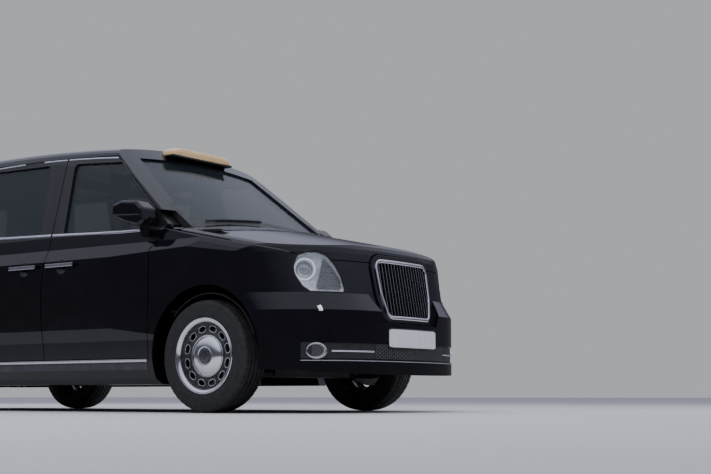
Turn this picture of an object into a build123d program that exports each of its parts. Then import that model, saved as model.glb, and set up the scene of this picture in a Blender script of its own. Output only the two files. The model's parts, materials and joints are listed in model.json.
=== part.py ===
from build123d import *
import os
from math import asin, atan2, cos, hypot, pi, radians, sin

os.makedirs("parts", exist_ok=True)

# London style electric taxi cab. Millimetres, +X forward, +Y left, +Z up.
# The origin is on the ground, at the middle of the cab's length and width.

# Overall sizes
length = 4857
half_width = 937
height = 1888
wheelbase = 2985
front_overhang = 955
nose_x = length / 2
tail_x = -length / 2
front_axle_x = nose_x - front_overhang
rear_axle_x = front_axle_x - wheelbase

# Clearances
shut_gap = 6
seat_gap = 0.3
pane_gap = 0.3

# Panel thicknesses
wall = 60
skin = 16
pane = 5
pane_depth = 14

# Side section of the lower body (half widths at heights)
sill_bottom_z = 178
sill_bottom_y = 850
sill_edge = (898, 215)
sill_strip = (914, 330)
rocker_crease = (921, 458)
door_crease = (933, 540)
door_belly = (half_width, 780)
shoulder_low = (931, 1010)
shoulder_high = (895, 1092)
belt = (884, 1180)
deck_top_z = 1300
deck_top_y = 700

# Plan of the nose and the tail
nose_radius = 2100
nose_corner_radius = 600
nose_side_y = 905
nose_lean = 0.177
nose_break_z = 546
nose_upper_x = nose_x - 38
nose_ledge_low_z = 618
nose_ledge_high_z = 724
nose_edge = [(113, 972), (121, 1003), (138, 1028), (164, 1046), (190, 1056), (560, 1230)]
nose_notch = [(-285, nose_break_z), (285, nose_break_z), (350, 670), (370, 760), (-370, 760), (-350, 670)]
tail_radius = 4200
tail_corner_radius = 210
tail_side_y = 900
tail_lean = 0.05

# Bonnet line
cowl_x = front_axle_x - 255
cowl_z = 1262
bonnet_slope = 0.205
bonnet_crown_radius = 3900
bonnet_edge_y = 846
bonnet_edge_drops = [(26, 13), (46, 33), (60, 62), (90, 180)]

# Greenhouse
tumblehome = 0.245
roof_summit_x = -700
roof_radius = 14000
roof_crown_radius = 4200
roof_edge_y = 668
roof_edge_drops = [(34, 15), (55, 34), (69, 60), (105, 160)]
screen_run = 655
screen_rise = 507
screen_plan_radius = 3000
rear_screen_run = 200
rear_screen_rise = 880
rear_screen_base_x = tail_x + 34
rear_screen_base_z = 960
rear_plan_radius = 4200

# Wheels
tyre_radius = 350
tyre_width = 215
rim_radius = 233.5
track_half = 812
arch_radius = 436
arch_centre_z = 352

# Doors
door_bottom_z = 340
front_door_front_x = front_axle_x - 475
door_split_low = (25, door_bottom_z)
door_split_mid = (-8, 800)
door_split_belt = (30, 1200)
door_split_top = (24, 1750)
rear_door_rear_x = -1040

# Concealed hinges: a pin in the body, and a gooseneck arm on the leaf that turns round it
pin_radius = 5
barrel_radius = 10
arm_width = 10
arm_half_span = 18
pocket_half_span = 24
pin_half_span = 28
door_hinge_set_back = 75
front_door_hinge_y = 894
rear_door_hinge_y = 904
front_door_edge_y = 927
door_edge_slope = 0.35
door_elbow = (0, -104)
door_foot = [(118, -29), (165, -29)]
door_pocket = [(-16, -60), (75, -60), (75, 17), (-16, 17)]
front_door_hinges_z = (600, 900)
rear_door_hinges_z = (640, 920)
bonnet_hinge = (1165, 1216)
bonnet_hinge_y = 600
bonnet_edge_radius = 94
bonnet_arm = [(0, 0), (18, -102), (140, -36), (180, -44)]
bonnet_pocket = [(-16, -112), (-16, 13), (18, 13), (45, -12), (80, -34), (100, -37), (100, -112)]
tailgate_hinge = (-2015, 1828)
tailgate_hinge_y = 450
tailgate_edge_radius = 104
tailgate_arm = [(0, 0), (0, -110), (122, -110), (114, -75)]
tailgate_pocket = [(-16, -60), (110, -60), (110, 16), (-16, 16)]

# Door handles
handle_z = 980
handle_y = 957
cup_depth = 9
cup_radius = 190
front_handle_x = (40, 336)
rear_handle_x = (-336, -40)

floor_top_z = 338
floor_bottom_z = 298
sill_inner_y = 780
firewall_back_x = 1150
firewall_front_x = 1180
wheel_house_radius = 386
bay_top_z = 1100
step_x = -1130
subframe_y = (345, 400)
subframe_z = (420, 500)
rear_floor_z = 540
inner_arch_y = 684

# Nose details
nose_foot = [(1700, -100), (1700, 268), (2075, 258), (2480, 228), (2480, -100)]
surround_height = 12
surround_width = 30
grille_right = [(236, 576), (278, 730), (292, 950)]
grille_corner = 60
frame_height = 18
frame_width = 20
grille_back_depth = 6
bar_count = 17
bar_pitch = 31
bar_width = 9
bar_height = 3
intake_depth = 10
intake_rear_x = 2205
intake_z = (322, 424)

# Headlamp outline, (run along the nose's corner, z), and fog lamp, both on the right-hand side
lamp_outline = [(905, 880), (928, 950), (990, 973), (1066, 974), (1120, 951), (1172, 896), (1212, 823),
                (1240, 720), (1011, 722), (960, 758), (915, 830)]
lamp_corner = 20
fog_centre = (2218, -739, 373)
fog_radii = (62, 46)

# Roof sign
sign_x = (480, 612)
sign_z = (1776, 1850)
sign_half_width = 310
sign_corner = 24

# Mirror outline, (x, z)
mirror_outline = [(748, 1258), (748, 1338), (830, 1362), (960, 1350), (1022, 1300), (1034, 1205), (985, 1180),
                  (870, 1208)]
mirror_corner = 30
mirror_edge = 24

# Side glass outlines, (x, z)
front_glass = [(950, 1184), (927, 1349), (560, 1674), (108, 1704), (145, 1200)]
rear_glass = [(-108, 1215), (-152, 1718), (-930, 1730), (-930, 1246)]
quarter_glass_points = [(-1110, 1252), (-1110, 1728), (-1760, 1728), (-1900, 1285)]
glass_corner = 34


def side_prism(points, near, far, radius=0):
    """Prism with an (x, z) side outline, between two values of y."""
    with BuildPart() as prism:
        with BuildSketch(Plane.XZ.offset(-near)) as outline:
            with BuildLine():
                Polyline(*points, close=True)
            make_face()
            if radius:
                fillet(outline.vertices(), radius)
        extrude(amount=-(far - near))
    return prism.part


def plan_prism(points, low, high, radius=0):
    """Prism with an (x, y) plan outline, between two heights."""
    with BuildPart() as prism:
        with BuildSketch(Plane.XY.offset(low)) as outline:
            with BuildLine():
                Polyline(*points, close=True)
            make_face()
            if radius:
                fillet(outline.vertices(), radius)
        extrude(amount=high - low)
    return prism.part


def block(x0, x1, y0, y1, z0, z1):
    """Plain box between two corners."""
    with BuildPart() as box:
        with Locations(((x0 + x1) / 2, (y0 + y1) / 2, (z0 + z1) / 2)):
            Box(abs(x1 - x0), abs(y1 - y0), abs(z1 - z0))
    return box.part


def nose_outline(tip_x, inset):
    """Plan of the body with a rounded nose, open far behind the tail."""
    side_y = nose_side_y - inset
    edge_x = tip_x - nose_radius + (nose_radius ** 2 - side_y ** 2) ** 0.5
    rear_x = tail_x - 3000
    widest_x = front_axle_x - 1200
    full_y = half_width + 3 - inset
    with BuildSketch() as outline:
        with BuildLine():
            ThreePointArc((edge_x, -side_y), (tip_x, 0), (edge_x, side_y))
            Polyline((edge_x, side_y), (widest_x, full_y), (rear_x, full_y),
                     (rear_x, -full_y), (widest_x, -full_y), (edge_x, -side_y))
        make_face()
        corners = outline.vertices().sort_by(Axis.X)[-2:]
        fillet(corners, nose_corner_radius - inset)
    return outline.sketch


def tail_outline(tip_x, inset):
    """Plan of the body with a rounded tail, open far ahead of the nose."""
    side_y = tail_side_y - inset
    edge_x = tip_x + tail_radius - (tail_radius ** 2 - side_y ** 2) ** 0.5
    front_x = nose_x + 3000
    widest_x = rear_axle_x + 300
    full_y = half_width + 3 - inset
    with BuildSketch() as outline:
        with BuildLine():
            ThreePointArc((edge_x, -side_y), (tip_x, 0), (edge_x, side_y))
            Polyline((edge_x, side_y), (widest_x, full_y), (front_x, full_y),
                     (front_x, -full_y), (widest_x, -full_y), (edge_x, -side_y))
        make_face()
        corners = outline.vertices().sort_by(Axis.X)[:2]
        fillet(corners, tail_corner_radius - inset)
    return outline.sketch


def inset_line(points, inset):
    """An open (set back, z) line moved back along its normals, its ends at their own heights."""
    lines = []
    for (s0, z0), (s1, z1) in zip(points, points[1:]):
        run, rise = s1 - s0, z1 - z0
        size = hypot(run, rise)
        lines.append((s0 + inset * rise / size, z0 - inset * run / size, run, rise))
    moved = [(lines[0][0] - (lines[0][1] - points[0][1]) * lines[0][2] / lines[0][3], points[0][1])]
    for (s0, z0, run0, rise0), (s1, z1, run1, rise1) in zip(lines, lines[1:]):
        turn = run0 * rise1 - rise0 * run1
        share = ((s1 - s0) * rise1 - (z1 - z0) * run1) / turn
        moved.append((s0 + share * run0, z0 + share * rise0))
    s0, z0, run, rise = lines[-1]
    moved.append((s0 + run, z0 + rise))
    return moved


def nose_prism(profile, inset):
    """Body behind a side profile of (set back, z) knots, rounded in plan as the nose is."""
    line = inset_line(profile, inset)
    outline = nose_outline(nose_x, inset)
    with BuildPart() as prism:
        for (s0, z0), (s1, z1) in zip(line, line[1:]):
            with BuildSketch(Plane.XY.offset(z0)):
                with Locations((-s0, 0)):
                    add(outline)
            run, rise = s0 - s1, z1 - z0
            extrude(amount=hypot(run, rise), dir=(run, 0, rise))
    return prism.part


def crown_line(edge_y, radius, drops, inset):
    """Right half of a crowned section, rolled down at its edge, as knots from (0, 0)."""
    edge_z = -edge_y ** 2 / 2 / radius
    ends = [(edge_y + dy - inset * 0.7, edge_z - dz - inset) for dy, dz in drops]
    return (edge_y - inset * 0.7, edge_z - inset), ends


def lower_body(inset, bottom):
    """Body below the windows, its faces moved in by the inset, from a bottom height."""
    low = bottom - inset
    if bottom < sill_strip[1]:
        foot = [(0, low), (sill_bottom_y, low), sill_edge]
    else:
        foot = [(0, low), (sill_strip[0], low)]
    with BuildPart() as body:
        with BuildSketch(Plane.YZ.offset(tail_x - 400)):
            with BuildLine() as half:
                Polyline(*foot, sill_strip, rocker_crease, door_crease)
                ThreePointArc(door_crease, door_belly, shoulder_low)
                Polyline(shoulder_low, shoulder_high, belt, (deck_top_y, deck_top_z), (0, deck_top_z))
                mirror(half.line, about=Plane.YZ)
            make_face()
            if inset:
                offset(amount=-inset, kind=Kind.INTERSECTION)
        extrude(amount=length + 800)
        # nose: upright bumper face and its ledge, then a leaning upper face that rolls into the bonnet
        ledge_set_back = nose_x - nose_upper_x + nose_lean * (nose_ledge_high_z - nose_break_z)
        hidden_height = 100
        upper_face = [(nose_x - nose_upper_x - nose_lean * hidden_height, nose_break_z - hidden_height), *nose_edge]
        bumper_face = [(0, nose_break_z - 800), (0, nose_ledge_low_z), (ledge_set_back, nose_ledge_high_z)]
        with BuildPart(mode=Mode.PRIVATE) as nose:
            add(nose_prism(bumper_face, inset))
            with BuildSketch(Plane.YZ.offset(nose_x - 400)):
                with BuildLine():
                    Polyline(*nose_notch, close=True)
                make_face()
                if inset:
                    offset(amount=inset, kind=Kind.INTERSECTION)
            extrude(amount=600, mode=Mode.SUBTRACT)
            add(nose_prism(upper_face, inset))
        add(nose.part, mode=Mode.INTERSECT)
        with BuildPart(mode=Mode.PRIVATE) as tail:
            with BuildSketch(Plane.XY.offset(-200)):
                add(tail_outline(tail_x + inset - tail_lean * 500, inset))
            extrude(amount=1700, dir=(tail_lean, 0, 1))
        add(tail.part, mode=Mode.INTERSECT)
        # bonnet: crowned across, its edges rolled down, falling forward
        front_x = nose_x + 100
        crown_z = cowl_z - bonnet_slope * (front_x - cowl_x)
        (edge_y, edge_z), ends = crown_line(bonnet_edge_y, bonnet_crown_radius, bonnet_edge_drops, inset)
        with BuildPart(mode=Mode.PRIVATE) as bonnet_region:
            with BuildSketch(Plane.YZ.offset(front_x)):
                with BuildLine():
                    ThreePointArc((-edge_y, crown_z + edge_z), (0, crown_z - inset), (edge_y, crown_z + edge_z))
                    right = [(y, crown_z + z) for y, z in ends]
                    left = [(-y, z) for y, z in reversed(right)]
                    low_y = right[-1][0]
                    Polyline((edge_y, crown_z + edge_z), *right, (low_y, -2000), (-low_y, -2000), *left,
                             (-edge_y, crown_z + edge_z))
                make_face()
            extrude(amount=length + 1000, dir=(-1, 0, bonnet_slope))
        add(bonnet_region.part, mode=Mode.INTERSECT)
    return body.part


def upper_body(inset):
    """Greenhouse, its faces moved in by the inset."""
    base_z = 950
    top_z = height + 100
    belt_y, belt_z = belt
    side_shift = inset * hypot(1, tumblehome)
    base_y = belt_y - 14 - side_shift
    top_y = belt_y - side_shift - tumblehome * (top_z - belt_z)
    with BuildPart() as cabin:
        with BuildSketch(Plane.YZ.offset(tail_x - 400)):
            with BuildLine() as half:
                Polyline((0, base_z), (base_y, base_z), (belt_y - side_shift, belt_z), (top_y, top_z), (0, top_z))
                mirror(half.line, about=Plane.YZ)
            make_face()
        extrude(amount=length + 800)
        # roof: crowned across, and falling gently forward of its summit
        (edge_y, edge_z), ends = crown_line(roof_edge_y, roof_crown_radius, roof_edge_drops, inset)
        with BuildPart(mode=Mode.PRIVATE) as roof_region:
            with BuildSketch(Plane.YZ.offset(roof_summit_x)) as roof_section:
                with BuildLine():
                    ThreePointArc((-edge_y, height + edge_z), (0, height - inset), (edge_y, height + edge_z))
                    right = [(y, height + z) for y, z in ends]
                    left = [(-y, z) for y, z in reversed(right)]
                    low_y = right[-1][0]
                    Polyline((edge_y, height + edge_z), *right, (half_width + 60, height + ends[-1][1] - 400), (half_width + 60, 100), (-half_width - 60, 100),
                             (-half_width - 60, height + ends[-1][1] - 400), *left,
                             (-edge_y, height + edge_z))
                make_face()
            hub = Axis((roof_summit_x, 0, height - roof_radius), (0, 1, 0))
            revolve(axis=hub, revolution_arc=14)
            extrude(roof_section.sketch, amount=-(roof_summit_x - tail_x + 400))
        add(roof_region.part, mode=Mode.INTERSECT)
        # windscreen: raked, and curved in plan
        foot_z = 900
        foot_x = cowl_x + (cowl_z - foot_z) / screen_rise * screen_run
        foot_x -= inset * hypot(screen_run, screen_rise) / screen_rise
        edge_x = foot_x - half_width ** 2 / 2 / screen_plan_radius
        with BuildPart(mode=Mode.PRIVATE) as screen_region:
            with BuildSketch(Plane.XY.offset(foot_z)):
                with BuildLine():
                    ThreePointArc((edge_x, -half_width), (foot_x, 0), (edge_x, half_width))
                    Polyline((edge_x, half_width), (-3600, half_width), (-3600, -half_width), (edge_x, -half_width))
                make_face()
            extrude(amount=1900, dir=(-screen_run, 0, screen_rise))
        add(screen_region.part, mode=Mode.INTERSECT)
        # rear screen
        lean = rear_screen_run / rear_screen_rise
        back_x = rear_screen_base_x - lean * (rear_screen_base_z - foot_z) + inset * hypot(1, lean)
        corner_x = back_x + half_width ** 2 / 2 / rear_plan_radius
        with BuildPart(mode=Mode.PRIVATE) as rear_region:
            with BuildSketch(Plane.XY.offset(foot_z)) as rear_plan:
                with BuildLine():
                    ThreePointArc((corner_x, -half_width), (back_x, 0), (corner_x, half_width))
                    Polyline((corner_x, half_width), (3600, half_width), (3600, -half_width), (corner_x, -half_width))
                make_face()
            extrude(amount=1300, dir=(lean, 0, 1))
        add(rear_region.part, mode=Mode.INTERSECT)
    return cabin.part


def hull(inset, bottom):
    with BuildPart() as whole:
        add(lower_body(inset, bottom))
        add(upper_body(inset))
    return whole.part



def cut(body, *tools):
    """The body without the tools."""
    with BuildPart() as result:
        add(body)
        for tool in tools:
            add(tool, mode=Mode.SUBTRACT)
    return result.part


def common(body, *tools):
    """What the body shares with every tool."""
    with BuildPart() as result:
        add(body)
        for tool in tools:
            add(tool, mode=Mode.INTERSECT)
    return result.part


def join(*bodies):
    with BuildPart() as result:
        for body in bodies:
            add(body)
    return result.part


def flip(body):
    """The same body on the other side of the cab."""
    with BuildPart() as result:
        add(mirror(body, about=Plane.XZ, mode=Mode.PRIVATE))
    return result.part


def both_sides(body):
    return join(body, flip(body))


def save(body, name):
    body.label = name
    export_step(body, f"parts/{name}.step")


def save_pair(body, name):
    save(body, name + "_left")
    save(flip(body), name + "_right")


def grown(points, gap):
    """Side outline prism grown or shrunk all round, on the left side of the cab."""
    with BuildPart() as prism:
        with BuildSketch(Plane.XZ.offset(-door_near_y)):
            with BuildLine():
                Polyline(*points, close=True)
            make_face()
            if gap:
                offset(amount=gap, kind=Kind.INTERSECTION)
        extrude(amount=-(door_far_y - door_near_y))
    return prism.part


door_near_y = 655
door_far_y = 1000
reach = 3000

# Master solids
outer = hull(0, sill_bottom_z)
cabin_space = cut(hull(wall, floor_top_z), block(firewall_back_x, reach, -reach, reach, 0, bay_top_z))
bay_space = common(lower_body(skin, -100), block(firewall_front_x, reach, -reach, reach, -500, 2000))
shell = cut(outer, cabin_space, bay_space)
pane_outer = hull(pane_depth, floor_top_z)
pane_inner = hull(pane_depth + pane, floor_top_z)
panes = cut(pane_outer, pane_inner)

# Doors
split_line = [door_split_belt, door_split_mid, door_split_low]
front_door_points = [
    (front_door_front_x, door_bottom_z + 5), (front_door_front_x, 1045), (1075, 1125), (1125, 1200),
    (510, 1724), door_split_top, *split_line]
rear_door_points = [
    (x - shut_gap, z) for x, z in [door_split_top, door_split_belt, door_split_mid]]
rear_door_points += [
    (door_split_low[0] - shut_gap, door_bottom_z + 5), (rear_door_rear_x, door_bottom_z + 5),
    (rear_door_rear_x, 1766)]
front_door_points[-1] = (door_split_low[0], door_bottom_z + 5)

def edge_bevel(line, side):
    """Wedges that set a leaf's inner edge back along its shut line, given as (x, y, z) knots on the skin.

    The side is +1 where the leaf lies towards +x of the line, and -1 where it lies towards -x.
    """
    lip = 2
    depth = 150
    with BuildPart() as wedge:
        for start, end in zip(line, line[1:]):
            x, y, z = start
            along = Vector(*end) - Vector(*start)
            with BuildSketch(Plane.XY.offset(z)):
                with BuildLine():
                    Polyline((x, y - lip), (x + side * door_edge_slope * depth, y - depth),
                             (x - side * shut_gap, y - depth), (x - side * shut_gap, y - lip), close=True)
                make_face()
            extrude(amount=along.length, dir=along)
    return wedge.part


def split_edge(offset_x):
    """Knots of the line between the two doors, on the skin from the sill to the roof."""
    top_z = 1770
    low_x, mid_x, belt_x, top_x = (point[0] for point in (door_split_low, door_split_mid, door_split_belt, door_split_top))
    knots = [(low_x, sill_strip[0], door_bottom_z), (low_x - 9, rocker_crease[0], rocker_crease[1]),
             (low_x - 15, door_crease[0], door_crease[1]), (mid_x, door_belly[0], door_split_mid[1]),
             (mid_x + 20, shoulder_low[0], shoulder_low[1]), (mid_x + 28, shoulder_high[0], shoulder_high[1]),
             (belt_x, belt[0] - 5, door_split_belt[1]), (top_x, belt[0] - tumblehome * (top_z - belt[1]), top_z)]
    return [(x + offset_x, y, z) for x, y, z in knots]


def hinge_edge(x, widest):
    """Knots of a door's upright shut line beside its hinges, where the body is no wider than given."""
    knots = [(sill_strip[0], door_bottom_z), rocker_crease, door_crease, door_belly, shoulder_low, shoulder_high]
    return [(x, min(y, widest), z) for y, z in knots]


def leg(start, end):
    """Round-ended bar of the arm's width, in a sketch."""
    line = Vector(*end) - Vector(*start)
    middle = (Vector(*end) + Vector(*start)) / 2
    with Locations(Location((middle.X, middle.Y), (0, 0, atan2(line.Y, line.X) * 180 / pi))):
        SlotCenterToCenter(line.length, arm_width)


def gooseneck(plane, points):
    """Arm from its pin to the leaf. In the plane, x runs from the pin to the leaf and y outwards."""
    with BuildPart() as arm:
        with BuildSketch(plane):
            for start, end in zip(points, points[1:]):
                leg(start, end)
        extrude(amount=arm_half_span, both=True)
        with BuildSketch(plane):
            Circle(barrel_radius)
        extrude(amount=pocket_half_span - seat_gap, both=True)
        with BuildSketch(plane):
            Circle(pin_radius + seat_gap)
        extrude(amount=pocket_half_span, both=True, mode=Mode.SUBTRACT)
    return arm.part


def pocket(plane, points):
    """Hollow in the body that the arm swings in."""
    with BuildPart() as hollow:
        with BuildSketch(plane):
            with BuildLine():
                Polyline(*points, close=True)
            make_face()
        extrude(amount=pocket_half_span, both=True)
    return hollow.part


def pin(plane):
    with BuildPart() as rod:
        with BuildSketch(plane):
            Circle(pin_radius)
        extrude(amount=pin_half_span, both=True)
    return rod.part


def fit_handle(door, rear_x, front_x):
    """The door with a pull handle over a finger cup."""
    middle = (rear_x + front_x) / 2
    with BuildPart() as cup:
        with Locations((middle, half_width - 3 - cup_depth + cup_radius, handle_z)):
            Sphere(cup_radius)
    grip = side_prism([(rear_x, handle_z - 12), (front_x, handle_z - 12), (front_x, handle_z + 12),
                       (rear_x, handle_z + 12)], handle_y - 10, handle_y, 9)
    feet = [block(x - 14, x + 14, half_width - 12, handle_y - 9, handle_z - 9, handle_z + 9)
            for x in (rear_x + 24, front_x - 24)]
    return join(cut(door, cup.part), grip, *feet)


front_door_hinge_x = front_door_front_x + door_hinge_set_back
rear_door_hinge_x = rear_door_rear_x - door_hinge_set_back
front_door_hinges = [Plane(origin=(front_door_hinge_x, front_door_hinge_y, z), x_dir=(-1, 0, 0), z_dir=(0, 0, -1))
                     for z in front_door_hinges_z]
rear_door_hinges = [Plane(origin=(rear_door_hinge_x, rear_door_hinge_y, z), x_dir=(1, 0, 0), z_dir=(0, 0, 1))
                    for z in rear_door_hinges_z]
door_arm = [(0, 0), door_elbow, *door_foot]
front_door = common(shell, grown(front_door_points, 0))
front_door = cut(front_door, grown(front_glass, 0), edge_bevel(split_edge(0), 1),
                 edge_bevel(hinge_edge(front_door_front_x, front_door_edge_y), -1))
front_door = join(front_door, *[gooseneck(plane, door_arm) for plane in front_door_hinges])
rear_door = cut(common(shell, grown(rear_door_points, 0)), grown(rear_glass, 0),
                edge_bevel(split_edge(-shut_gap), -1), edge_bevel(hinge_edge(rear_door_rear_x, half_width), 1))
rear_door = join(rear_door, *[gooseneck(plane, door_arm) for plane in rear_door_hinges])
front_door = fit_handle(front_door, *front_handle_x)
rear_door = fit_handle(rear_door, *rear_handle_x)
front_pane = common(panes, grown(front_glass, -pane_gap))
rear_pane = common(panes, grown(rear_glass, -pane_gap))
quarter_pane = common(panes, grown(quarter_glass_points, -pane_gap))
save_pair(front_door, "front_door")
save_pair(rear_door, "rear_door")
save_pair(front_pane, "front_door_glass")
save_pair(rear_pane, "rear_door_glass")
save(both_sides(quarter_pane), "quarter_glass")

# Windscreen, between the pillars
screen_length = hypot(screen_run, screen_rise)
screen_normal = (screen_rise / screen_length, 0, screen_run / screen_length)
screen_middle = (cowl_x - screen_run / 2, 0, cowl_z + screen_rise / 2)
screen_plane = Plane(origin=screen_middle, x_dir=(0, 1, 0), z_dir=screen_normal)
screen_low, screen_high = -370, 385
screen_low_y, screen_high_y = 735, 590


def screen_prism(gap):
    with BuildPart() as prism:
        with BuildSketch(screen_plane):
            with BuildLine():
                Polyline((-screen_low_y, screen_low), (screen_low_y, screen_low), (screen_high_y, screen_high),
                         (-screen_high_y, screen_high), close=True)
            make_face()
            if gap:
                offset(amount=gap, kind=Kind.INTERSECTION)
        extrude(amount=260, both=True)
    return prism.part


screen_opening = screen_prism(0)
save(common(panes, screen_prism(-pane_gap), block(0, reach, -reach, reach, 0, reach)), "windscreen")

# Regions that share out the shell
bonnet_corner = (1232, 1150)
bonnet_seam = [bonnet_corner, (2000, 986), (2090, 955), (2200, 926), (2480, 926)]
bonnet_side = [(1200, 1400), (1200, 1156), *bonnet_seam, (2480, 1400)]
bumper_seam = [(1780, 674), (1990, 668), (2188, 634), (2150, 714), (2150, 1000)]
bumper_side = [(1780, 0), *bumper_seam, (2480, 1000), (2480, 0)]
wing_seam = [(x - 0.5, z + 0.45) for x, z in reversed(bumper_seam)]
wing_side = [(front_door_front_x + shut_gap, 0), (front_door_front_x + shut_gap, 1040),
             (1080, 1120), (1130, 1196), (1130, 1400), (bonnet_corner[0], 1400),
             (bonnet_corner[0], bonnet_corner[1] - shut_gap), (1300, bonnet_corner[1] - shut_gap), *wing_seam,
             (1779.5, 0)]
with BuildPart() as arch_tool:
    with BuildSketch(Plane.XZ):
        with Locations((front_axle_x, arch_centre_z), (rear_axle_x, arch_centre_z)):
            Circle(arch_radius)
    extrude(amount=reach, both=True)
arch_cut = cut(arch_tool.part, block(-reach, reach, -690, 690, 0, reach))
with BuildPart() as house_tool:
    with Locations(*[(front_axle_x, y, tyre_radius) for y in (track_half, -track_half)]):
        Sphere(wheel_house_radius)
wheel_houses = house_tool.part


def swing(centre, radius):
    """Round bar across the cab that an edge swings about."""
    with BuildPart() as bar:
        with BuildSketch(Plane.XZ):
            with Locations(centre):
                Circle(radius)
        extrude(amount=1200, both=True)
    return bar.part


def bonnet_zone(gap):
    """What the bonnet takes of the skin, its rear edge rounded about its hinge."""
    with BuildPart() as zone:
        with BuildSketch(Plane.XZ):
            with BuildLine():
                Polyline(*bonnet_side, close=True)
            make_face()
            if gap:
                offset(amount=gap, kind=Kind.INTERSECTION)
        extrude(amount=reach, both=True)
        add(swing(bonnet_hinge, bonnet_edge_radius - gap), mode=Mode.SUBTRACT)
    return zone.part


def grille_prism(gap):
    """Grille opening, seen from the front."""
    with BuildPart() as prism:
        with BuildSketch(Plane.YZ.offset(2200)) as outline:
            with BuildLine():
                Polyline(*grille_right, *[(-y, z) for y, z in reversed(grille_right)], close=True)
            make_face()
            fillet(outline.vertices(), grille_corner)
            if gap:
                offset(amount=gap, kind=Kind.INTERSECTION)
        extrude(amount=400)
    return prism.part


def lamp_prism(gap):
    """Right-hand headlamp opening, seen along the line the lamp faces."""
    with BuildPart() as prism:
        with BuildSketch(Plane(origin=(0, 0, 0), x_dir=(1, 1, 0), z_dir=(1, -1, 0))) as outline:
            with BuildLine():
                Polyline(*lamp_outline, close=True)
            make_face()
            fillet(outline.vertices(), lamp_corner)
            if gap:
                offset(amount=gap, kind=Kind.INTERSECTION)
        extrude(amount=2400)
        add(block(0, reach, 0, reach, 0, reach), mode=Mode.SUBTRACT)
    return prism.part


bonnet_hinges = [Plane(origin=(bonnet_hinge[0], y, bonnet_hinge[1]), x_dir=(1, 0, 0), z_dir=(0, -1, 0))
                 for y in (bonnet_hinge_y, -bonnet_hinge_y)]
bonnet = cut(common(shell, bonnet_zone(0)), upper_body(0), grille_prism(surround_width + shut_gap),
             both_sides(lamp_prism(shut_gap)))
bonnet = join(bonnet, *[gooseneck(plane, bonnet_arm) for plane in bonnet_hinges])
save(bonnet, "bonnet")
bonnet_opening = bonnet_zone(shut_gap)


cowl_half_width = 760
wing_skin = cut(outer, lower_body(skin, -100), upper_body(0))
wing = common(wing_skin, side_prism(wing_side, 400, reach))
wing = cut(wing, arch_cut, wheel_houses, bonnet_opening, grown(front_door_points, shut_gap),
           block(1000, 1300, 0, cowl_half_width + seat_gap, 0, reach), flip(lamp_prism(0)))
save_pair(wing, "wing")

# Nose, with its raised grille surround
with BuildPart() as fog_tool:
    with BuildSketch(Plane(origin=fog_centre, x_dir=(1, 1, 0), z_dir=(1, -1, 0))):
        Ellipse(*fog_radii)
    extrude(amount=60, both=True)
lamp_cut = both_sides(lamp_prism(0))
with BuildPart() as fog_lens:
    with BuildSketch(Plane(origin=fog_centre, x_dir=(1, 1, 0), z_dir=(1, -1, 0))):
        Ellipse(*(radius - pane_gap for radius in fog_radii))
    extrude(amount=60, both=True)
nose_skin = cut(outer, lower_body(skin, -100))
surround = cut(lower_body(-surround_height, sill_bottom_z), lower_body(skin - 1, -100))
surround = common(surround, grille_prism(surround_width),
                  block(0, reach, -reach, reach, nose_break_z + surround_height + seat_gap, reach))
intake = common(cut(outer, lower_body(intake_depth, -100)), block(intake_rear_x, reach, -reach, reach, *intake_z))
front_bumper = common(nose_skin, side_prism(bumper_side, -reach, reach))
front_bumper = cut(front_bumper, arch_cut, wheel_houses, bonnet_opening, intake, side_prism(nose_foot, -reach, reach))
front_bumper = cut(join(front_bumper, surround), grille_prism(0), lamp_cut, both_sides(fog_tool.part))
save(front_bumper, "front_bumper")

# Grille: chrome frame and upright bars on a thin back
grille_back = common(cut(lower_body(skin - grille_back_depth, -100), lower_body(skin, -100)), grille_prism(-pane_gap))
grille_frame = common(cut(lower_body(-frame_height, -100), lower_body(skin, -100)),
                      cut(grille_prism(-pane_gap), grille_prism(-frame_width)))
bar_space = common(cut(lower_body(-bar_height, -100), lower_body(skin - 1, -100)), grille_prism(-frame_width + 1))
with BuildPart() as bar_row:
    for index in range(bar_count):
        y = (index - (bar_count - 1) / 2) * bar_pitch
        with Locations((nose_x, y, 760)):
            Box(600, bar_width, 600)
save(join(grille_back, grille_frame, common(bar_row.part, bar_space)), "grille")

headlamp = common(nose_skin, lamp_prism(-pane_gap))
fog_lamp = common(nose_skin, fog_lens.part)
save(both_sides(join(headlamp, fog_lamp)), "front_lamps")

# Roof, tailgate, rear bumper, floor and side frames
roof_front_x = 640
tail_front_x = -2095
tail_half_width = 690
tail_side = [(tail_front_x, 2000), (tail_front_x, 1640), (-2240, 1200), (-2240, 560), (-2600, 560),
             (-2600, 2000)]


def tail_zone(gap):
    """What the tailgate takes of the shell, its top edge rounded about its hinge."""
    with BuildPart() as zone:
        with BuildSketch(Plane.XZ):
            with BuildLine():
                Polyline(*tail_side, close=True)
            make_face()
            if gap:
                offset(amount=gap, kind=Kind.INTERSECTION)
        extrude(amount=tail_half_width + gap, both=True)
        add(swing(tailgate_hinge, tailgate_edge_radius - gap), mode=Mode.SUBTRACT)
    return zone.part


tailgate_hinges = [Plane(origin=(tailgate_hinge[0], y, tailgate_hinge[1]), x_dir=(-1, 0, 0), z_dir=(0, 1, 0))
                   for y in (tailgate_hinge_y, -tailgate_hinge_y)]
tail_opening = tail_zone(shut_gap)
roof_half_width = 640
roof_region = block(-2300, roof_front_x, -roof_half_width, roof_half_width, 1650, 2000)
roof = cut(common(shell, roof_region), screen_opening, tail_opening,
           *[pocket(plane, tailgate_pocket) for plane in tailgate_hinges])
roof = join(roof, *[pin(plane) for plane in tailgate_hinges])
save(roof, "roof")

tailgate = common(shell, tail_zone(0))


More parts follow.
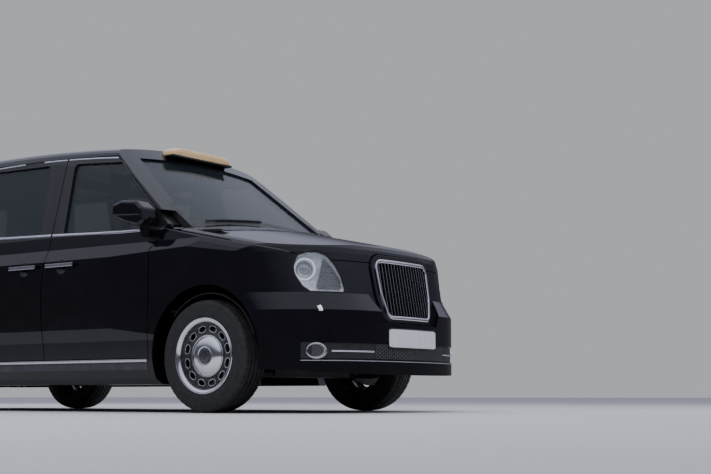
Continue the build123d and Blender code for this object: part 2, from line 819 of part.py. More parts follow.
def tail_glass_prism(gap):
    with BuildPart() as prism:
        with BuildSketch(Plane.YZ.offset(-2600)) as outline:
            with BuildLine():
                Polyline((-600, 1230), (600, 1230), (545, 1700), (-545, 1700), close=True)
            make_face()
            fillet(outline.vertices(), 50)
            if gap:
                offset(amount=gap, kind=Kind.INTERSECTION)
        extrude(amount=500)
    return prism.part


tailgate = cut(tailgate, tail_glass_prism(0))
tailgate = join(tailgate, *[gooseneck(plane, tailgate_arm) for plane in tailgate_hinges])
save(tailgate, "tailgate")
save(common(panes, tail_glass_prism(-pane_gap)), "tailgate_glass")
rear_bumper_side = [(-1900, 0), (-1900, 500), (-2600, 554 - shut_gap), (-2600, 0)]
rear_bumper_region = side_prism(rear_bumper_side, -reach, reach)
rear_bumper = cut(common(outer, rear_bumper_region), lower_body(wall, -100), arch_cut, tail_opening)
save(rear_bumper, "rear_bumper")

floor_outer = block(-2230, firewall_front_x, -sill_inner_y, sill_inner_y, 0, bay_top_z)
firewall = common(shell, block(firewall_back_x - 5, firewall_front_x, -sill_inner_y, sill_inner_y,
                               floor_bottom_z, bay_top_z))
floor_pan = join(
    firewall,
    block(step_x, firewall_back_x, -sill_inner_y, sill_inner_y, floor_bottom_z, floor_top_z),
    block(step_x, step_x + 30, -inner_arch_y, inner_arch_y, floor_bottom_z, rear_floor_z),
    block(-2230, step_x, -inner_arch_y, inner_arch_y, rear_floor_z - 40, rear_floor_z))
floor_pan = cut(floor_pan, arch_cut, wheel_houses)
save(floor_pan, "floor_pan")

# Wheel arch liners
with BuildPart() as rear_liner:
    with BuildSketch(Plane.XZ.offset(-inner_arch_y - seat_gap)):
        with Locations((rear_axle_x, arch_centre_z)):
            Circle(arch_radius - 10)
            Circle(arch_radius - 16, mode=Mode.SUBTRACT)
    extrude(amount=-(870 - inner_arch_y))
    with BuildSketch(Plane.XZ.offset(-inner_arch_y - seat_gap)):
        with Locations((rear_axle_x, arch_centre_z)):
            Circle(arch_radius - 10)
    extrude(amount=-6)
with BuildPart() as front_liner:
    with Locations((front_axle_x, track_half, tyre_radius)):
        Sphere(wheel_house_radius + 9)
        Sphere(wheel_house_radius + 3, mode=Mode.SUBTRACT)
rear_liner_body = cut(rear_liner.part, block(-reach, reach, -reach, reach, -reach, 300),
                      block(rear_axle_x - 60, rear_axle_x + 430, 0, 720, 0, 420))
front_liner_body = cut(front_liner.part, block(-reach, reach, 870, reach, -reach, reach),
                       block(-reach, reach, -reach, 620, -reach, reach),
                       block(-reach, reach, -reach, reach, -reach, 480),
                       block(0, firewall_front_x + seat_gap, -reach, reach, -reach, reach))
save(both_sides(join(rear_liner_body, front_liner_body)), "arch_liners")

cowl_region = block(1000, 1290, -cowl_half_width, cowl_half_width, bay_top_z, 1400)
cowl = cut(common(shell, cowl_region), screen_opening, bonnet_opening)
cowl = cut(cowl, floor_outer, both_sides(grown(front_door_points, shut_gap)),
           *[pocket(plane, bonnet_pocket) for plane in bonnet_hinges])
cowl = join(cowl, *[pin(plane) for plane in bonnet_hinges])
save(cowl, "cowl")

side_frame = common(shell, block(-reach, firewall_front_x, 0, reach, 0, reach))
underside = block(-reach, reach, -sill_inner_y - seat_gap, sill_inner_y + seat_gap, 0, bay_top_z)
side_frame = cut(side_frame, underside)
side_frame = cut(side_frame, block(-2300, roof_front_x, -reach, roof_half_width + seat_gap, 1650, 2000), tail_opening)
side_frame = cut(side_frame, grown(front_door_points, shut_gap), grown(rear_door_points, shut_gap))
side_frame = cut(side_frame, grown(quarter_glass_points, 0), screen_opening, rear_bumper_region)
side_frame = cut(side_frame, arch_cut, wheel_houses)
side_frame = cut(side_frame, block(1000, 1300, -cowl_half_width - seat_gap, cowl_half_width + seat_gap, bay_top_z, 1400))
hinge_post = cut(side_frame, common(cut(outer, lower_body(skin + seat_gap, -100)),
                                    side_prism([(front_door_front_x + 5, 0), (front_door_front_x + 5, 1300),
                                                (1300, 1300), (1300, 0)], 0, reach)))
side_frame = cut(hinge_post, *[pocket(plane, door_pocket) for plane in front_door_hinges + rear_door_hinges])
side_frame = join(side_frame, *[pin(plane) for plane in front_door_hinges + rear_door_hinges])

# Wheels, built at the origin with the outboard side towards +Y
bead_radius = 218.7


def tyre():
    with BuildPart() as body:
        with BuildSketch(Plane.YZ):
            with BuildLine():
                ThreePointArc((-92, bead_radius + seat_gap), (-tyre_width / 2, 280), (-97, 331))
                ThreePointArc((-97, 331), (-89, 342), (-74, 346))
                ThreePointArc((-74, 346), (0, tyre_radius), (74, 346))
                ThreePointArc((74, 346), (89, 342), (97, 331))
                ThreePointArc((97, 331), (tyre_width / 2, 280), (92, bead_radius + seat_gap))
                Line((92, bead_radius + seat_gap), (-92, bead_radius + seat_gap))
            make_face()
        revolve(axis=Axis.Y)
    return body.part


spindle_radius = 32
slot_count = 12
slot_circle = 158
cap_radius = 128
cap_edge_y = 68
cap_tip_y = 98
cap_rise = cap_tip_y - cap_edge_y
cap_sphere_radius = (cap_radius ** 2 + cap_rise ** 2) / (2 * cap_rise)
cap_half_angle = asin(cap_radius / cap_sphere_radius) / 2
cap_middle = (cap_tip_y - cap_sphere_radius * (1 - cos(cap_half_angle)), cap_sphere_radius * sin(cap_half_angle))


def wheel():
    with BuildPart() as body:
        # slotted disc with its hub
        with BuildSketch(Plane.YZ):
            with BuildLine():
                Polyline((78, 215), (64, 190), (62, 150), (60, spindle_radius + 0.1), (26, spindle_radius + 0.1),
                         (26, 60), (46, 62), (52, 140), (54, 190), (60, 215), close=True)
            make_face()
        revolve(axis=Axis.Y)
        with BuildSketch(Plane.XZ.offset(-120)):
            with PolarLocations(slot_circle + 12, slot_count, start_angle=15):
                SlotOverall(58, 36, rotation=90)
        extrude(amount=100, mode=Mode.SUBTRACT)
        # rim
        with BuildSketch(Plane.YZ):
            with BuildLine():
                Polyline((-104, rim_radius), (-99, rim_radius), (-95, bead_radius), (95, bead_radius),
                         (99, rim_radius), (104, rim_radius), (100, 211), (-98, 211), close=True)
            make_face()
        revolve(axis=Axis.Y)
        # domed cap
        with BuildSketch(Plane.YZ):
            with BuildLine():
                Polyline((55, 0), (55, cap_radius), (cap_edge_y, cap_radius))
                ThreePointArc((cap_edge_y, cap_radius), cap_middle, (cap_tip_y, 0))
                Line((cap_tip_y, 0), (55, 0))
            make_face()
        revolve(axis=Axis.Y)
    return body.part


def placed(body, x, y, z):
    with BuildPart() as result:
        add(body.moved(Location((x, y, z))))
    return result.part


tyre_body = tyre()
wheel_body = wheel()
for end, axle_x in (("front", front_axle_x), ("rear", rear_axle_x)):
    save_pair(placed(tyre_body, axle_x, track_half, tyre_radius), f"tyre_{end}")
    save_pair(placed(wheel_body, axle_x, track_half, tyre_radius), f"wheel_{end}")


def tube(start, end, radius):
    """Straight round bar between two points."""
    line = Vector(*end) - Vector(*start)
    with BuildPart() as bar:
        with BuildSketch(Plane(origin=start, z_dir=line)):
            Circle(radius)
        extrude(amount=line.length)
    return bar.part


# Front suspension: knuckle between two arms, on the steering axis at the wheel's middle
ball_low_z = 240
ball_high_z = 460
arm_half_height = 12
arm_half_width = 22
damper_y = 540
kingpin_radius = 10
kingpin_reach = 40
upright_low_z = ball_low_z + arm_half_height + seat_gap
upright_high_z = ball_high_z - arm_half_height - seat_gap
knuckle = join(
    block(front_axle_x - 28, front_axle_x + 28, track_half - 60, track_half - 14, upright_low_z, upright_high_z),
    block(front_axle_x - 28, front_axle_x + 28, track_half - 15, track_half + 22, upright_low_z, 285),
    block(front_axle_x - 28, front_axle_x + 28, track_half - 15, track_half + 22, 415, upright_high_z),
    tube((front_axle_x, track_half - 40, tyre_radius), (front_axle_x, track_half + 46, tyre_radius), spindle_radius),
    tube((front_axle_x, track_half - 40, tyre_radius), (front_axle_x, track_half - 12, tyre_radius), 85))
with BuildPart() as kingpin_bores:
    with Locations((front_axle_x, track_half, tyre_radius)):
        Cylinder(kingpin_radius + seat_gap, 400)
        Cylinder(kingpin_radius + seat_gap, 2 * (tyre_radius - ball_low_z) - 2 * kingpin_reach, mode=Mode.SUBTRACT)
knuckle = cut(knuckle, kingpin_bores.part)
save_pair(knuckle, "knuckle")


def wishbone(z, inner_y, spread):
    """Flat A-shaped arm from two pivots to the ball joint on the steering axis."""
    tip_y = track_half + arm_half_width
    return plan_prism([(front_axle_x - arm_half_width, tip_y), (front_axle_x - arm_half_width, 580),
                       (front_axle_x - spread, inner_y), (front_axle_x + spread, inner_y),
                       (front_axle_x + arm_half_width, 580), (front_axle_x + arm_half_width, tip_y)],
                      z - arm_half_height, z + arm_half_height)


front_corner = join(
    tube((front_axle_x, track_half, ball_low_z), (front_axle_x, track_half, ball_low_z + kingpin_reach - 1), kingpin_radius),
    tube((front_axle_x, track_half, ball_high_z - kingpin_reach + 1), (front_axle_x, track_half, ball_high_z), kingpin_radius),
    wishbone(ball_low_z, 380, 150),
    wishbone(ball_high_z, 420, 90),
    tube((front_axle_x, damper_y, ball_low_z), (front_axle_x, damper_y, 640), 26),
    tube((front_axle_x, damper_y, 560), (front_axle_x, damper_y, 900), 45),
    block(front_axle_x - 90, front_axle_x + 90, 400, damper_y + 50, 880, 915),
    block(front_axle_x - 90, front_axle_x + 90, 400, 425, 240, 900))
crossmember_top_z = 300
crossmember = block(front_axle_x - 150, front_axle_x + 150, -401, 401, 228, crossmember_top_z)
rail = block(firewall_front_x + seat_gap, nose_x - 200, *subframe_y, *subframe_z)
rail_post = block(front_axle_x - 150, front_axle_x + 150, *subframe_y, crossmember_top_z - 1, subframe_z[1])
save(join(crossmember, both_sides(join(front_corner, rail, rail_post))), "front_suspension")

# Rear axle with its motor
rear_axle = join(
    tube((rear_axle_x, -track_half - 46, tyre_radius), (rear_axle_x, track_half + 46, tyre_radius), spindle_radius),
    both_sides(tube((rear_axle_x, track_half - 30, tyre_radius), (rear_axle_x, track_half, tyre_radius), 85)),
    tube((rear_axle_x, -track_half + 20, tyre_radius), (rear_axle_x, track_half - 20, tyre_radius), 45),
    tube((rear_axle_x, -190, tyre_radius), (rear_axle_x, 190, tyre_radius), 130),
    both_sides(block(rear_axle_x, step_x - seat_gap, 590, 640, 300, 360)))
save(rear_axle, "rear_axle")
engine = block(1340, 1900, -330, 330, crossmember_top_z + seat_gap, 900)
battery = block(-950, 700, -560, 560, floor_bottom_z - seat_gap - 110, floor_bottom_z - seat_gap)
save(join(engine, battery), "power_units")

# Inside
wheel_tilt = 26
steering_radius = 178
steering_rim = 13
steering_hub = 58
driver_y = -380
column_foot = (860, driver_y, 880)
column_length = 170
column_axis = (-cos(radians(wheel_tilt)), 0, sin(radians(wheel_tilt)))
column_top = tuple(a + column_length * b for a, b in zip(column_foot, column_axis))
column_end = tuple(a + (column_length - seat_gap) * b for a, b in zip(column_foot, column_axis))
dashboard = join(
    side_prism([(firewall_back_x - seat_gap, 640), (880, 700), (800, 880), (830, 985),
                (firewall_back_x - seat_gap, 1060)], -700, 700),
    tube(column_foot, column_end, 28))
save(dashboard, "dashboard")

with BuildPart() as steering:
    with BuildSketch(Plane(origin=column_top, z_dir=column_axis)):
        Circle(steering_hub)
    extrude(amount=30)
    with BuildSketch(Plane(origin=column_top, x_dir=(0, 1, 0), z_dir=column_axis).offset(8)):
        Rectangle(2 * steering_radius, 34)
        with Locations((0, -steering_radius / 2)):
            Rectangle(30, steering_radius)
    extrude(amount=12)
    with Locations(Plane(origin=column_top, z_dir=column_axis).offset(18)):
        Torus(steering_radius, steering_rim)
save(steering.part, "steering_wheel")


def seat(x_back, length_x, y0, y1, base_z, back_top_z, thick=110, lean=90):
    """Squab and backrest facing forward."""
    squab_top = base_z + thick
    return join(
        side_prism([(x_back, base_z), (x_back + length_x, base_z + 10), (x_back + length_x, squab_top + 20),
                    (x_back, squab_top)], y0, y1),
        side_prism([(x_back, base_z), (x_back + thick, base_z), (x_back + thick, squab_top),
                    (x_back + thick - lean, back_top_z), (x_back - lean, back_top_z)], y0, y1))


driver_seat = join(
    seat(150, 500, driver_y - 250, driver_y + 250, floor_top_z + 230, 1180),
    block(180, 600, driver_y - 200, driver_y + 200, floor_top_z + seat_gap, floor_top_z + 235))
save(driver_seat, "driver_seat")

partition_x = -60
partition = block(partition_x - 20, partition_x + 10, -690, 690, floor_top_z + seat_gap, 1640)
save(cut(partition, block(partition_x - 40, partition_x + 30, -610, 610, 1010, 1580)), "partition")

rear_bench = join(
    seat(-1560, 520, -620, 620, 600, 1200, 130, 130),
    block(-1540, step_x, -600, 600, rear_floor_z + seat_gap, 605))
folding_seats = both_sides(join(
    block(partition_x - 80, partition_x - 20 - seat_gap, 90, 500, 560, 960),
    block(partition_x - 170, partition_x - 79, 100, 490, 560, 940)))
save(join(rear_bench, folding_seats), "passenger_seats")

# Mirror, on the front door
mirror_arm = side_prism([(963, 1120), (1035, 1120), (1040, 1240), (940, 1240)], 850, 960)
with BuildPart() as mirror_head:
    add(side_prism(mirror_outline, 878, 1018, mirror_corner))
    rims = mirror_head.faces().filter_by(Axis.Y)
    fillet(rims.edges(), mirror_edge)
door_mirror = cut(join(mirror_arm, mirror_head.part), outer)
save_pair(door_mirror, "mirror")

# Tail lamps and roof sign
tail_lamp = block(-2600, -2290, 715, 875, 780, 1130)
save(both_sides(common(side_frame, tail_lamp)), "tail_lamps")
save_pair(cut(side_frame, tail_lamp), "side_frame")
with BuildPart() as sign:
    add(block(*sign_x, -sign_half_width, sign_half_width, *sign_z))
    fillet(sign.edges().filter_by(Axis.Z), sign_corner)
save(cut(sign.part, outer), "roof_sign")
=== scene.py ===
import json
import math
from fnmatch import fnmatchcase

import bmesh
import bpy
from mathutils import Matrix, Vector
from mathutils.bvhtree import BVHTree


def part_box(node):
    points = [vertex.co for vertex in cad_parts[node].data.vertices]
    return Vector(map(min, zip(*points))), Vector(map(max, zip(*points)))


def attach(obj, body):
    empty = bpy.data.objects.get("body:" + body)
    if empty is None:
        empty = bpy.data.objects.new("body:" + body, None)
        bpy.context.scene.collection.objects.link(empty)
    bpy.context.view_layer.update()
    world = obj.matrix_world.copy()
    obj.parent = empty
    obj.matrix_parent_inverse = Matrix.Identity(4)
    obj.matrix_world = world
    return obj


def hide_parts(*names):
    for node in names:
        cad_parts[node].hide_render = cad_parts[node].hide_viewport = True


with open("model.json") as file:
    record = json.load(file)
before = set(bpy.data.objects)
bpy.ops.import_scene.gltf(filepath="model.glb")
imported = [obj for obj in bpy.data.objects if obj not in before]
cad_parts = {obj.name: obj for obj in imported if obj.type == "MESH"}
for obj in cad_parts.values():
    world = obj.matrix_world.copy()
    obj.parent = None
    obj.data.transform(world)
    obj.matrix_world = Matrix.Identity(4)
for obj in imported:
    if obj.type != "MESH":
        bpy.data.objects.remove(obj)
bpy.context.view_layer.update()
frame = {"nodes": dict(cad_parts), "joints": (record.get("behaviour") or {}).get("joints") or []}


nodes = frame["nodes"]

# Camera of the photograph, metres and degrees, in the shared frame
CAMERA_PLACE = (7.087, -7.040, 0.106)
CAMERA_AZIMUTH = 36.03
CAMERA_PITCH = 6.763
FOCAL_PIXELS = 1338.4
PHOTO_WIDTH = 711
SENSOR_WIDTH = 36.0
FLOOR_HALF_SIZE = 60.0

# Places worked out from the frame
joint_places = {joint["name"]: joint["pos_m"] for joint in frame["joints"] if "pos_m" in joint}
front_axle_x, track_half, axle_z = joint_places["front_wheel_spin_left"]
rear_axle_x = joint_places["rear_wheel_spin_left"][0]
sides = (("left", 1), ("right", -1))

# Tyre and wheel, metres
TYRE_RADIUS = 0.350
TREAD_SEGMENTS = 288
WHEEL_SEGMENTS = 144
SLOT_COUNT = 12
SLOT_CIRCLE = 0.170
SLOT_HALF_LENGTH = 0.029
SLOT_HALF_WIDTH = 0.018
SLOT_POINTS = 48
SLOT_MIDDLES = [2 * math.pi * (sector + 0.5) / SLOT_COUNT for sector in range(SLOT_COUNT)]
DISC_INNER = 0.126
DISC_OUTER = 0.206

# Lines of the side, (x, z)
BELT_LINE = [(1.215, 1.178), (0.9685, 1.172), (0.6945, 1.174), (0.0015, 1.199), (-0.5155, 1.214),
             (-1.0, 1.222), (-1.9, 1.235)]
SILL_LINE_X = (0.99, -1.09)
SILL_LINE_Z = 0.329
SILL_BAND_Z = 0.292
DRIP_SUMMIT = (-0.5, 1.757)
DRIP_DROP = 0.044
DRIP_X = (0.535, -1.86)
FRAME_BOTTOM_Z = 1.185
FRAME_REAR_X = -1.93
PILLAR_STRIP_FRONT = ((0.0705, 1.31), (0.0245, 1.70))
PILLAR_STRIP_REAR = ((-0.0555, 1.31), (-0.1005, 1.70))
HANDLES_X = {"front": (0.052, 0.324), "rear": (-0.324, -0.052)}
HANDLE_Z = 0.980
HANDLE_POINTS = 24
FRAME_BLACK = (0.006, 0.006, 0.0065)
FRAME_ROUGHER = 0.22
GLASS_ROUGHNESS = (0.02, 0.036)
NOISE_RANGE = (0.3, 0.7)
DRIP_POINTS = 40

# Door mirror: its split line from x on, and its glass as (y, z)
MIRROR_SPLIT_X = 0.765
MIRROR_SPLIT_Z = 1.262
MIRROR_SPLIT_RISE = 0.06
MIRROR_GLASS = [(0.904, 1.272), (0.992, 1.272), (0.992, 1.326), (0.904, 1.326)]
MIRROR_GLASS_MIDDLE = (0.948, 1.299)

# Wipers: name, y of the pivot, y and z of the tip
WIPERS = (("right", -0.60, 0.00, 1.292), ("left", 0.06, 0.62, 1.262))
WIPER_FOOT_Z = 1.238
WIPER_POINTS = 40

TAIL_DIVIDERS_Z = (0.900, 0.960)
TAIL_POINTS = 17

# Side glass outlines, (x, z)
FRONT_GLASS = [(0.950, 1.184), (0.927, 1.349), (0.560, 1.674), (0.108, 1.704), (0.145, 1.200)]
REAR_GLASS = [(-0.108, 1.215), (-0.152, 1.718), (-0.930, 1.730), (-0.930, 1.246)]
QUARTER_GLASS = [(-1.110, 1.252), (-1.110, 1.728), (-1.760, 1.728), (-1.900, 1.285)]

# Seats, metres and degrees
PAD_VOXEL = 0.012
CLOTH_FRAMES = 20
DRIVER_Y = -0.380
DRIVER_LEAN = -8.4
BENCH_LEAN = -12.2
FOLDING_Y = 0.295

# Cabin mirror: its front face's middle, and its outline as (y, z) about it
CABIN_MIRROR_X = 0.560
CABIN_MIRROR_Z = 1.590
CABIN_MIRROR = [(-0.115, -0.031), (0.115, -0.031), (0.115, 0.031), (-0.115, 0.031)]

# Nose
GRILLE_SIDE = [(0.236, 0.576), (0.278, 0.730), (0.292, 0.950)]
GRILLE_CORNER = 0.060
GRILLE_FRAME_WIDTH = 0.020
BAR_PITCH = 0.031
BAR_COUNT = 17
BLADE_Z_MILLIMETRES = range(597, 932, 5)
LAMP_OUTLINE = [(0.905, 0.880), (0.928, 0.950), (0.990, 0.973), (1.066, 0.974), (1.120, 0.951),
                (1.172, 0.896), (1.212, 0.823), (1.240, 0.720), (1.011, 0.722), (0.960, 0.758),
                (0.915, 0.830)]
LENS_CENTRE = (0.983, 0.862)
LENS_DEPTH = 0.03
LENS_SEGMENTS = 64
REFLECTOR_Z = (0.752, 0.930)
REFLECTOR_RUN = (1.052, 1.205)
REFLECTOR_RIBS = 26
REFLECTOR_COLUMNS = 16
FOG_CENTRE = (2.218, 0.739, 0.373)
FOG_RING_HALF = (0.060, 0.044)
FOG_BOWL_HALF = (0.058, 0.042)
FOG_SEGMENTS = 48
PLATE_SIZE = (0.520, 0.111)
PLATE_BOTTOM_Z = 0.402
PLATE_CORNER = 0.010
PLATE_COLUMNS = 26
INTAKE_Z = (0.326, 0.420)
INTAKE_HALF_WIDTH = 0.80
LINER_COLUMNS = 80
HEX_HALF_WIDTH = 0.370
HEX_SIZE = 0.0125
FOG_BAR_Y = (0.662, 0.385)
SPLITTER_Z = 0.315
# Painted reflection: place (y, z) of a pale square on each bumper corner, standing in for reflected light
REFLECTION_SPOT_PLACE = (0.720, 0.625)


# Materials
def new_material(name):
    """An empty node material with its output and a Principled shader."""
    material = bpy.data.materials.new(name)
    material.use_nodes = True
    tree = material.node_tree
    tree.nodes.clear()
    output = tree.nodes.new("ShaderNodeOutputMaterial")
    shader = tree.nodes.new("ShaderNodeBsdfPrincipled")
    tree.links.new(shader.outputs["BSDF"], output.inputs["Surface"])
    return material, tree, shader


def noise(tree, scale, detail=3.0):
    """Noise in the shared frame, per metre."""
    place = tree.nodes.new("ShaderNodeTexCoord")
    texture = tree.nodes.new("ShaderNodeTexNoise")
    texture.inputs["Scale"].default_value = scale
    texture.inputs["Detail"].default_value = detail
    tree.links.new(place.outputs["Object"], texture.inputs["Vector"])
    return texture.outputs["Fac"]


def spread(tree, value, low, high):
    """The noise's usual range mapped to another."""
    mapping = tree.nodes.new("ShaderNodeMapRange")
    mapping.inputs["From Min"].default_value = NOISE_RANGE[0]
    mapping.inputs["From Max"].default_value = NOISE_RANGE[1]
    mapping.inputs["To Min"].default_value = low
    mapping.inputs["To Max"].default_value = high
    tree.links.new(value, mapping.inputs["Value"])
    return mapping.outputs["Result"]


def sums(tree, operation, first, second):
    """One arithmetic step on sockets or numbers."""
    step = tree.nodes.new("ShaderNodeMath")
    step.operation = operation
    for place, value in zip(step.inputs, (first, second)):
        if isinstance(value, (int, float)):
            place.default_value = value
        else:
            tree.links.new(value, place)
    return step.outputs["Value"]


def mix_colours(tree, factor, first, second):
    """Colour between two, by a factor. Each is a colour or a socket."""
    mix = tree.nodes.new("ShaderNodeMix")
    mix.data_type = "RGBA"
    for place, value in (("A", first), ("B", second)):
        if isinstance(value, bpy.types.NodeSocket):
            tree.links.new(value, mix.inputs[place])
        else:
            mix.inputs[place].default_value = (*value, 1)
    tree.links.new(factor, mix.inputs["Factor"])
    return mix.outputs["Result"]


def bump(tree, shader, height, strength, distance):
    """Relief on the shader's normal."""
    node = tree.nodes.new("ShaderNodeBump")
    node.inputs["Strength"].default_value = strength
    node.inputs["Distance"].default_value = distance
    tree.links.new(height, node.inputs["Height"])
    tree.links.new(node.outputs["Normal"], shader.inputs["Normal"])


def surface(name, first, second, roughness, metallic=0.0, scale=8.0, relief=None, coat=0.0):
    """Surface with slight variation of colour and roughness, and relief as (scale, strength, metres)."""
    material, tree, shader = new_material(name)
    cloud = noise(tree, scale)
    tree.links.new(mix_colours(tree, spread(tree, cloud, 0, 1), first, second), shader.inputs["Base Color"])
    tree.links.new(spread(tree, noise(tree, scale * 2.3), *roughness), shader.inputs["Roughness"])
    shader.inputs["Metallic"].default_value = metallic
    shader.inputs["Coat Weight"].default_value = coat
    shader.inputs["Coat Roughness"].default_value = 0.03
    if relief:
        bump(tree, shader, noise(tree, relief[0], 4.0), relief[1], relief[2])
    return material


def glass(name, tint, alpha):
    """Thin tinted glazing, seen through without refraction."""
    material, tree, shader = new_material(name)
    cloud = noise(tree, 3.0)
    tree.links.new(mix_colours(tree, spread(tree, cloud, 0, 1), tint, [c * 1.15 for c in tint]),
                   shader.inputs["Base Color"])
    tree.links.new(spread(tree, noise(tree, 9.0), *GLASS_ROUGHNESS), shader.inputs["Roughness"])
    shader.inputs["Alpha"].default_value = alpha
    shader.inputs["IOR"].default_value = 1.5
    return material


def line_x(tree, z, ends):
    """The x of a leaning straight line at each z, from its two (x, z) ends."""
    (low_x, low_z), (high_x, high_z) = ends
    slope = (high_x - low_x) / (high_z - low_z)
    return sums(tree, "ADD", sums(tree, "MULTIPLY", z, slope), low_x - slope * low_z)


def framed_paint(name):
    """Body paint with satin black round the side windows, and the body-coloured strip between the doors."""
    material, tree, shader = new_material(name)
    place = tree.nodes.new("ShaderNodeTexCoord")
    axes = tree.nodes.new("ShaderNodeSeparateXYZ")
    tree.links.new(place.outputs["Object"], axes.inputs["Vector"])
    x, z = axes.outputs["X"], axes.outputs["Z"]
    run = sums(tree, "ADD", x, -DRIP_SUMMIT[0])
    drop = sums(tree, "MULTIPLY", sums(tree, "MULTIPLY", run, run), -DRIP_DROP)
    above_belt = sums(tree, "GREATER_THAN", z, FRAME_BOTTOM_Z)
    below_drip = sums(tree, "LESS_THAN", z, sums(tree, "ADD", drop, DRIP_SUMMIT[1]))
    ahead = sums(tree, "GREATER_THAN", x, FRAME_REAR_X)
    behind_strip = sums(tree, "LESS_THAN", x, line_x(tree, z, PILLAR_STRIP_REAR))
    before_strip = sums(tree, "GREATER_THAN", x, line_x(tree, z, PILLAR_STRIP_FRONT))
    off_strip = sums(tree, "MAXIMUM", behind_strip, before_strip)
    mask = sums(tree, "MULTIPLY", sums(tree, "MULTIPLY", above_belt, below_drip),
                sums(tree, "MULTIPLY", ahead, off_strip))
    gloss = mix_colours(tree, spread(tree, noise(tree, 8.0), 0, 1), PAINT_DARK, PAINT_LIGHT)
    tree.links.new(mix_colours(tree, mask, gloss, FRAME_BLACK), shader.inputs["Base Color"])
    gloss_roughness = spread(tree, noise(tree, 18.0), *PAINT_ROUGHNESS)
    rougher = sums(tree, "MULTIPLY", mask, FRAME_ROUGHER)
    tree.links.new(sums(tree, "ADD", gloss_roughness, rougher), shader.inputs["Roughness"])
    shader.inputs["IOR"].default_value = PAINT_IOR
    return material


PAINT_DARK = (0.0020, 0.0019, 0.0034)
PAINT_LIGHT = (0.0034, 0.0032, 0.0058)
PAINT_ROUGHNESS = (0.035, 0.070)
PAINT_IOR = 1.5

paint = surface("gloss_black_paint", PAINT_DARK, PAINT_LIGHT, PAINT_ROUGHNESS)
paint.node_tree.nodes["Principled BSDF"].inputs["IOR"].default_value = PAINT_IOR
frame_paint = framed_paint("gloss_paint_black_frames")
trim_black = surface("satin_black_plastic", (0.008, 0.008, 0.009), (0.016, 0.016, 0.017), (0.38, 0.55),
                     scale=20.0, relief=(900.0, 0.15, 0.0002))
gloss_black = surface("gloss_black_plastic", (0.006, 0.006, 0.007), (0.010, 0.010, 0.011), (0.10, 0.18),
                      scale=20.0)
chrome = surface("bright_chrome", (0.70, 0.71, 0.73), (0.82, 0.83, 0.85), (0.05, 0.12), metallic=1.0,
                 scale=14.0)
satin_bright = surface("satin_bright_trim", (0.62, 0.62, 0.66), (0.74, 0.74, 0.78), (0.16, 0.26),
                       metallic=1.0, scale=14.0)
band_grey = surface("sill_band", (0.045, 0.042, 0.052), (0.07, 0.066, 0.08), (0.25, 0.4), metallic=0.5,
                    scale=10.0)
steel_black = surface("black_wheel_steel", (0.012, 0.012, 0.013), (0.026, 0.026, 0.027), (0.22, 0.36),
                      scale=14.0, relief=(300.0, 0.06, 0.0003))
disc_steel = surface("brake_disc_steel", (0.22, 0.21, 0.20), (0.34, 0.33, 0.32), (0.3, 0.5), metallic=1.0,
                     scale=40.0)
chassis = surface("chassis_black", (0.015, 0.015, 0.015), (0.03, 0.028, 0.026), (0.5, 0.7), scale=6.0,
                  relief=(200.0, 0.2, 0.0006))
casing = surface("cast_casing", (0.20, 0.20, 0.20), (0.30, 0.30, 0.30), (0.4, 0.6), metallic=0.7, scale=12.0,
                 relief=(250.0, 0.3, 0.0006))
rubber = surface("tyre_rubber", (0.008, 0.008, 0.008), (0.017, 0.0165, 0.016), (0.55, 0.75), scale=24.0,
                 relief=(350.0, 0.2, 0.0004))
vinyl = surface("seat_vinyl", (0.030, 0.030, 0.034), (0.045, 0.044, 0.048), (0.4, 0.55), scale=12.0,
                relief=(420.0, 0.35, 0.0007))
leather = surface("wheel_leather", (0.012, 0.012, 0.012), (0.02, 0.02, 0.02), (0.35, 0.5), scale=20.0,
                  relief=(700.0, 0.4, 0.0004))
panel_grey = surface("cabin_panel_grey", (0.10, 0.10, 0.11), (0.14, 0.14, 0.15), (0.5, 0.65), scale=10.0,
                     relief=(800.0, 0.2, 0.0003))
red_lens = surface("red_lamp_lens", (0.30, 0.004, 0.004), (0.42, 0.010, 0.008), (0.06, 0.12), coat=1.0)
sign_lens = surface("sign_lens", (0.42, 0.28, 0.13), (0.50, 0.36, 0.19), (0.2, 0.3), coat=0.6)
plate_white = surface("blank_plate_white", (0.50, 0.51, 0.56), (0.58, 0.59, 0.64), (0.30, 0.42), scale=30.0)
lamp_white = surface("lamp_white", (0.74, 0.76, 0.80), (0.86, 0.88, 0.92), (0.12, 0.25), scale=40.0)
lamp_silver = surface("lamp_silver", (0.40, 0.42, 0.46), (0.62, 0.64, 0.68), (0.15, 0.3), metallic=0.3,
                      scale=60.0)
lens_grey = surface("lamp_lens_grey", (0.16, 0.17, 0.20), (0.42, 0.44, 0.48), (0.05, 0.12), metallic=0.6,
                    scale=90.0)
mesh_grey = surface("mesh_grey", (0.05, 0.05, 0.055), (0.09, 0.09, 0.095), (0.25, 0.4), scale=40.0)
lamp_grey = surface("lamp_reflector_grey", (0.045, 0.045, 0.055), (0.10, 0.10, 0.12), (0.15, 0.3),
                    metallic=0.6, scale=40.0)
window = glass("cabin_glass", (0.010, 0.014, 0.018), 0.58)
lamp_glass = glass("lamp_glass", (0.30, 0.32, 0.36), 0.10)
mirror_glass = surface("mirror_glass", (0.70, 0.72, 0.74), (0.76, 0.78, 0.80), (0.02, 0.04), metallic=1.0)

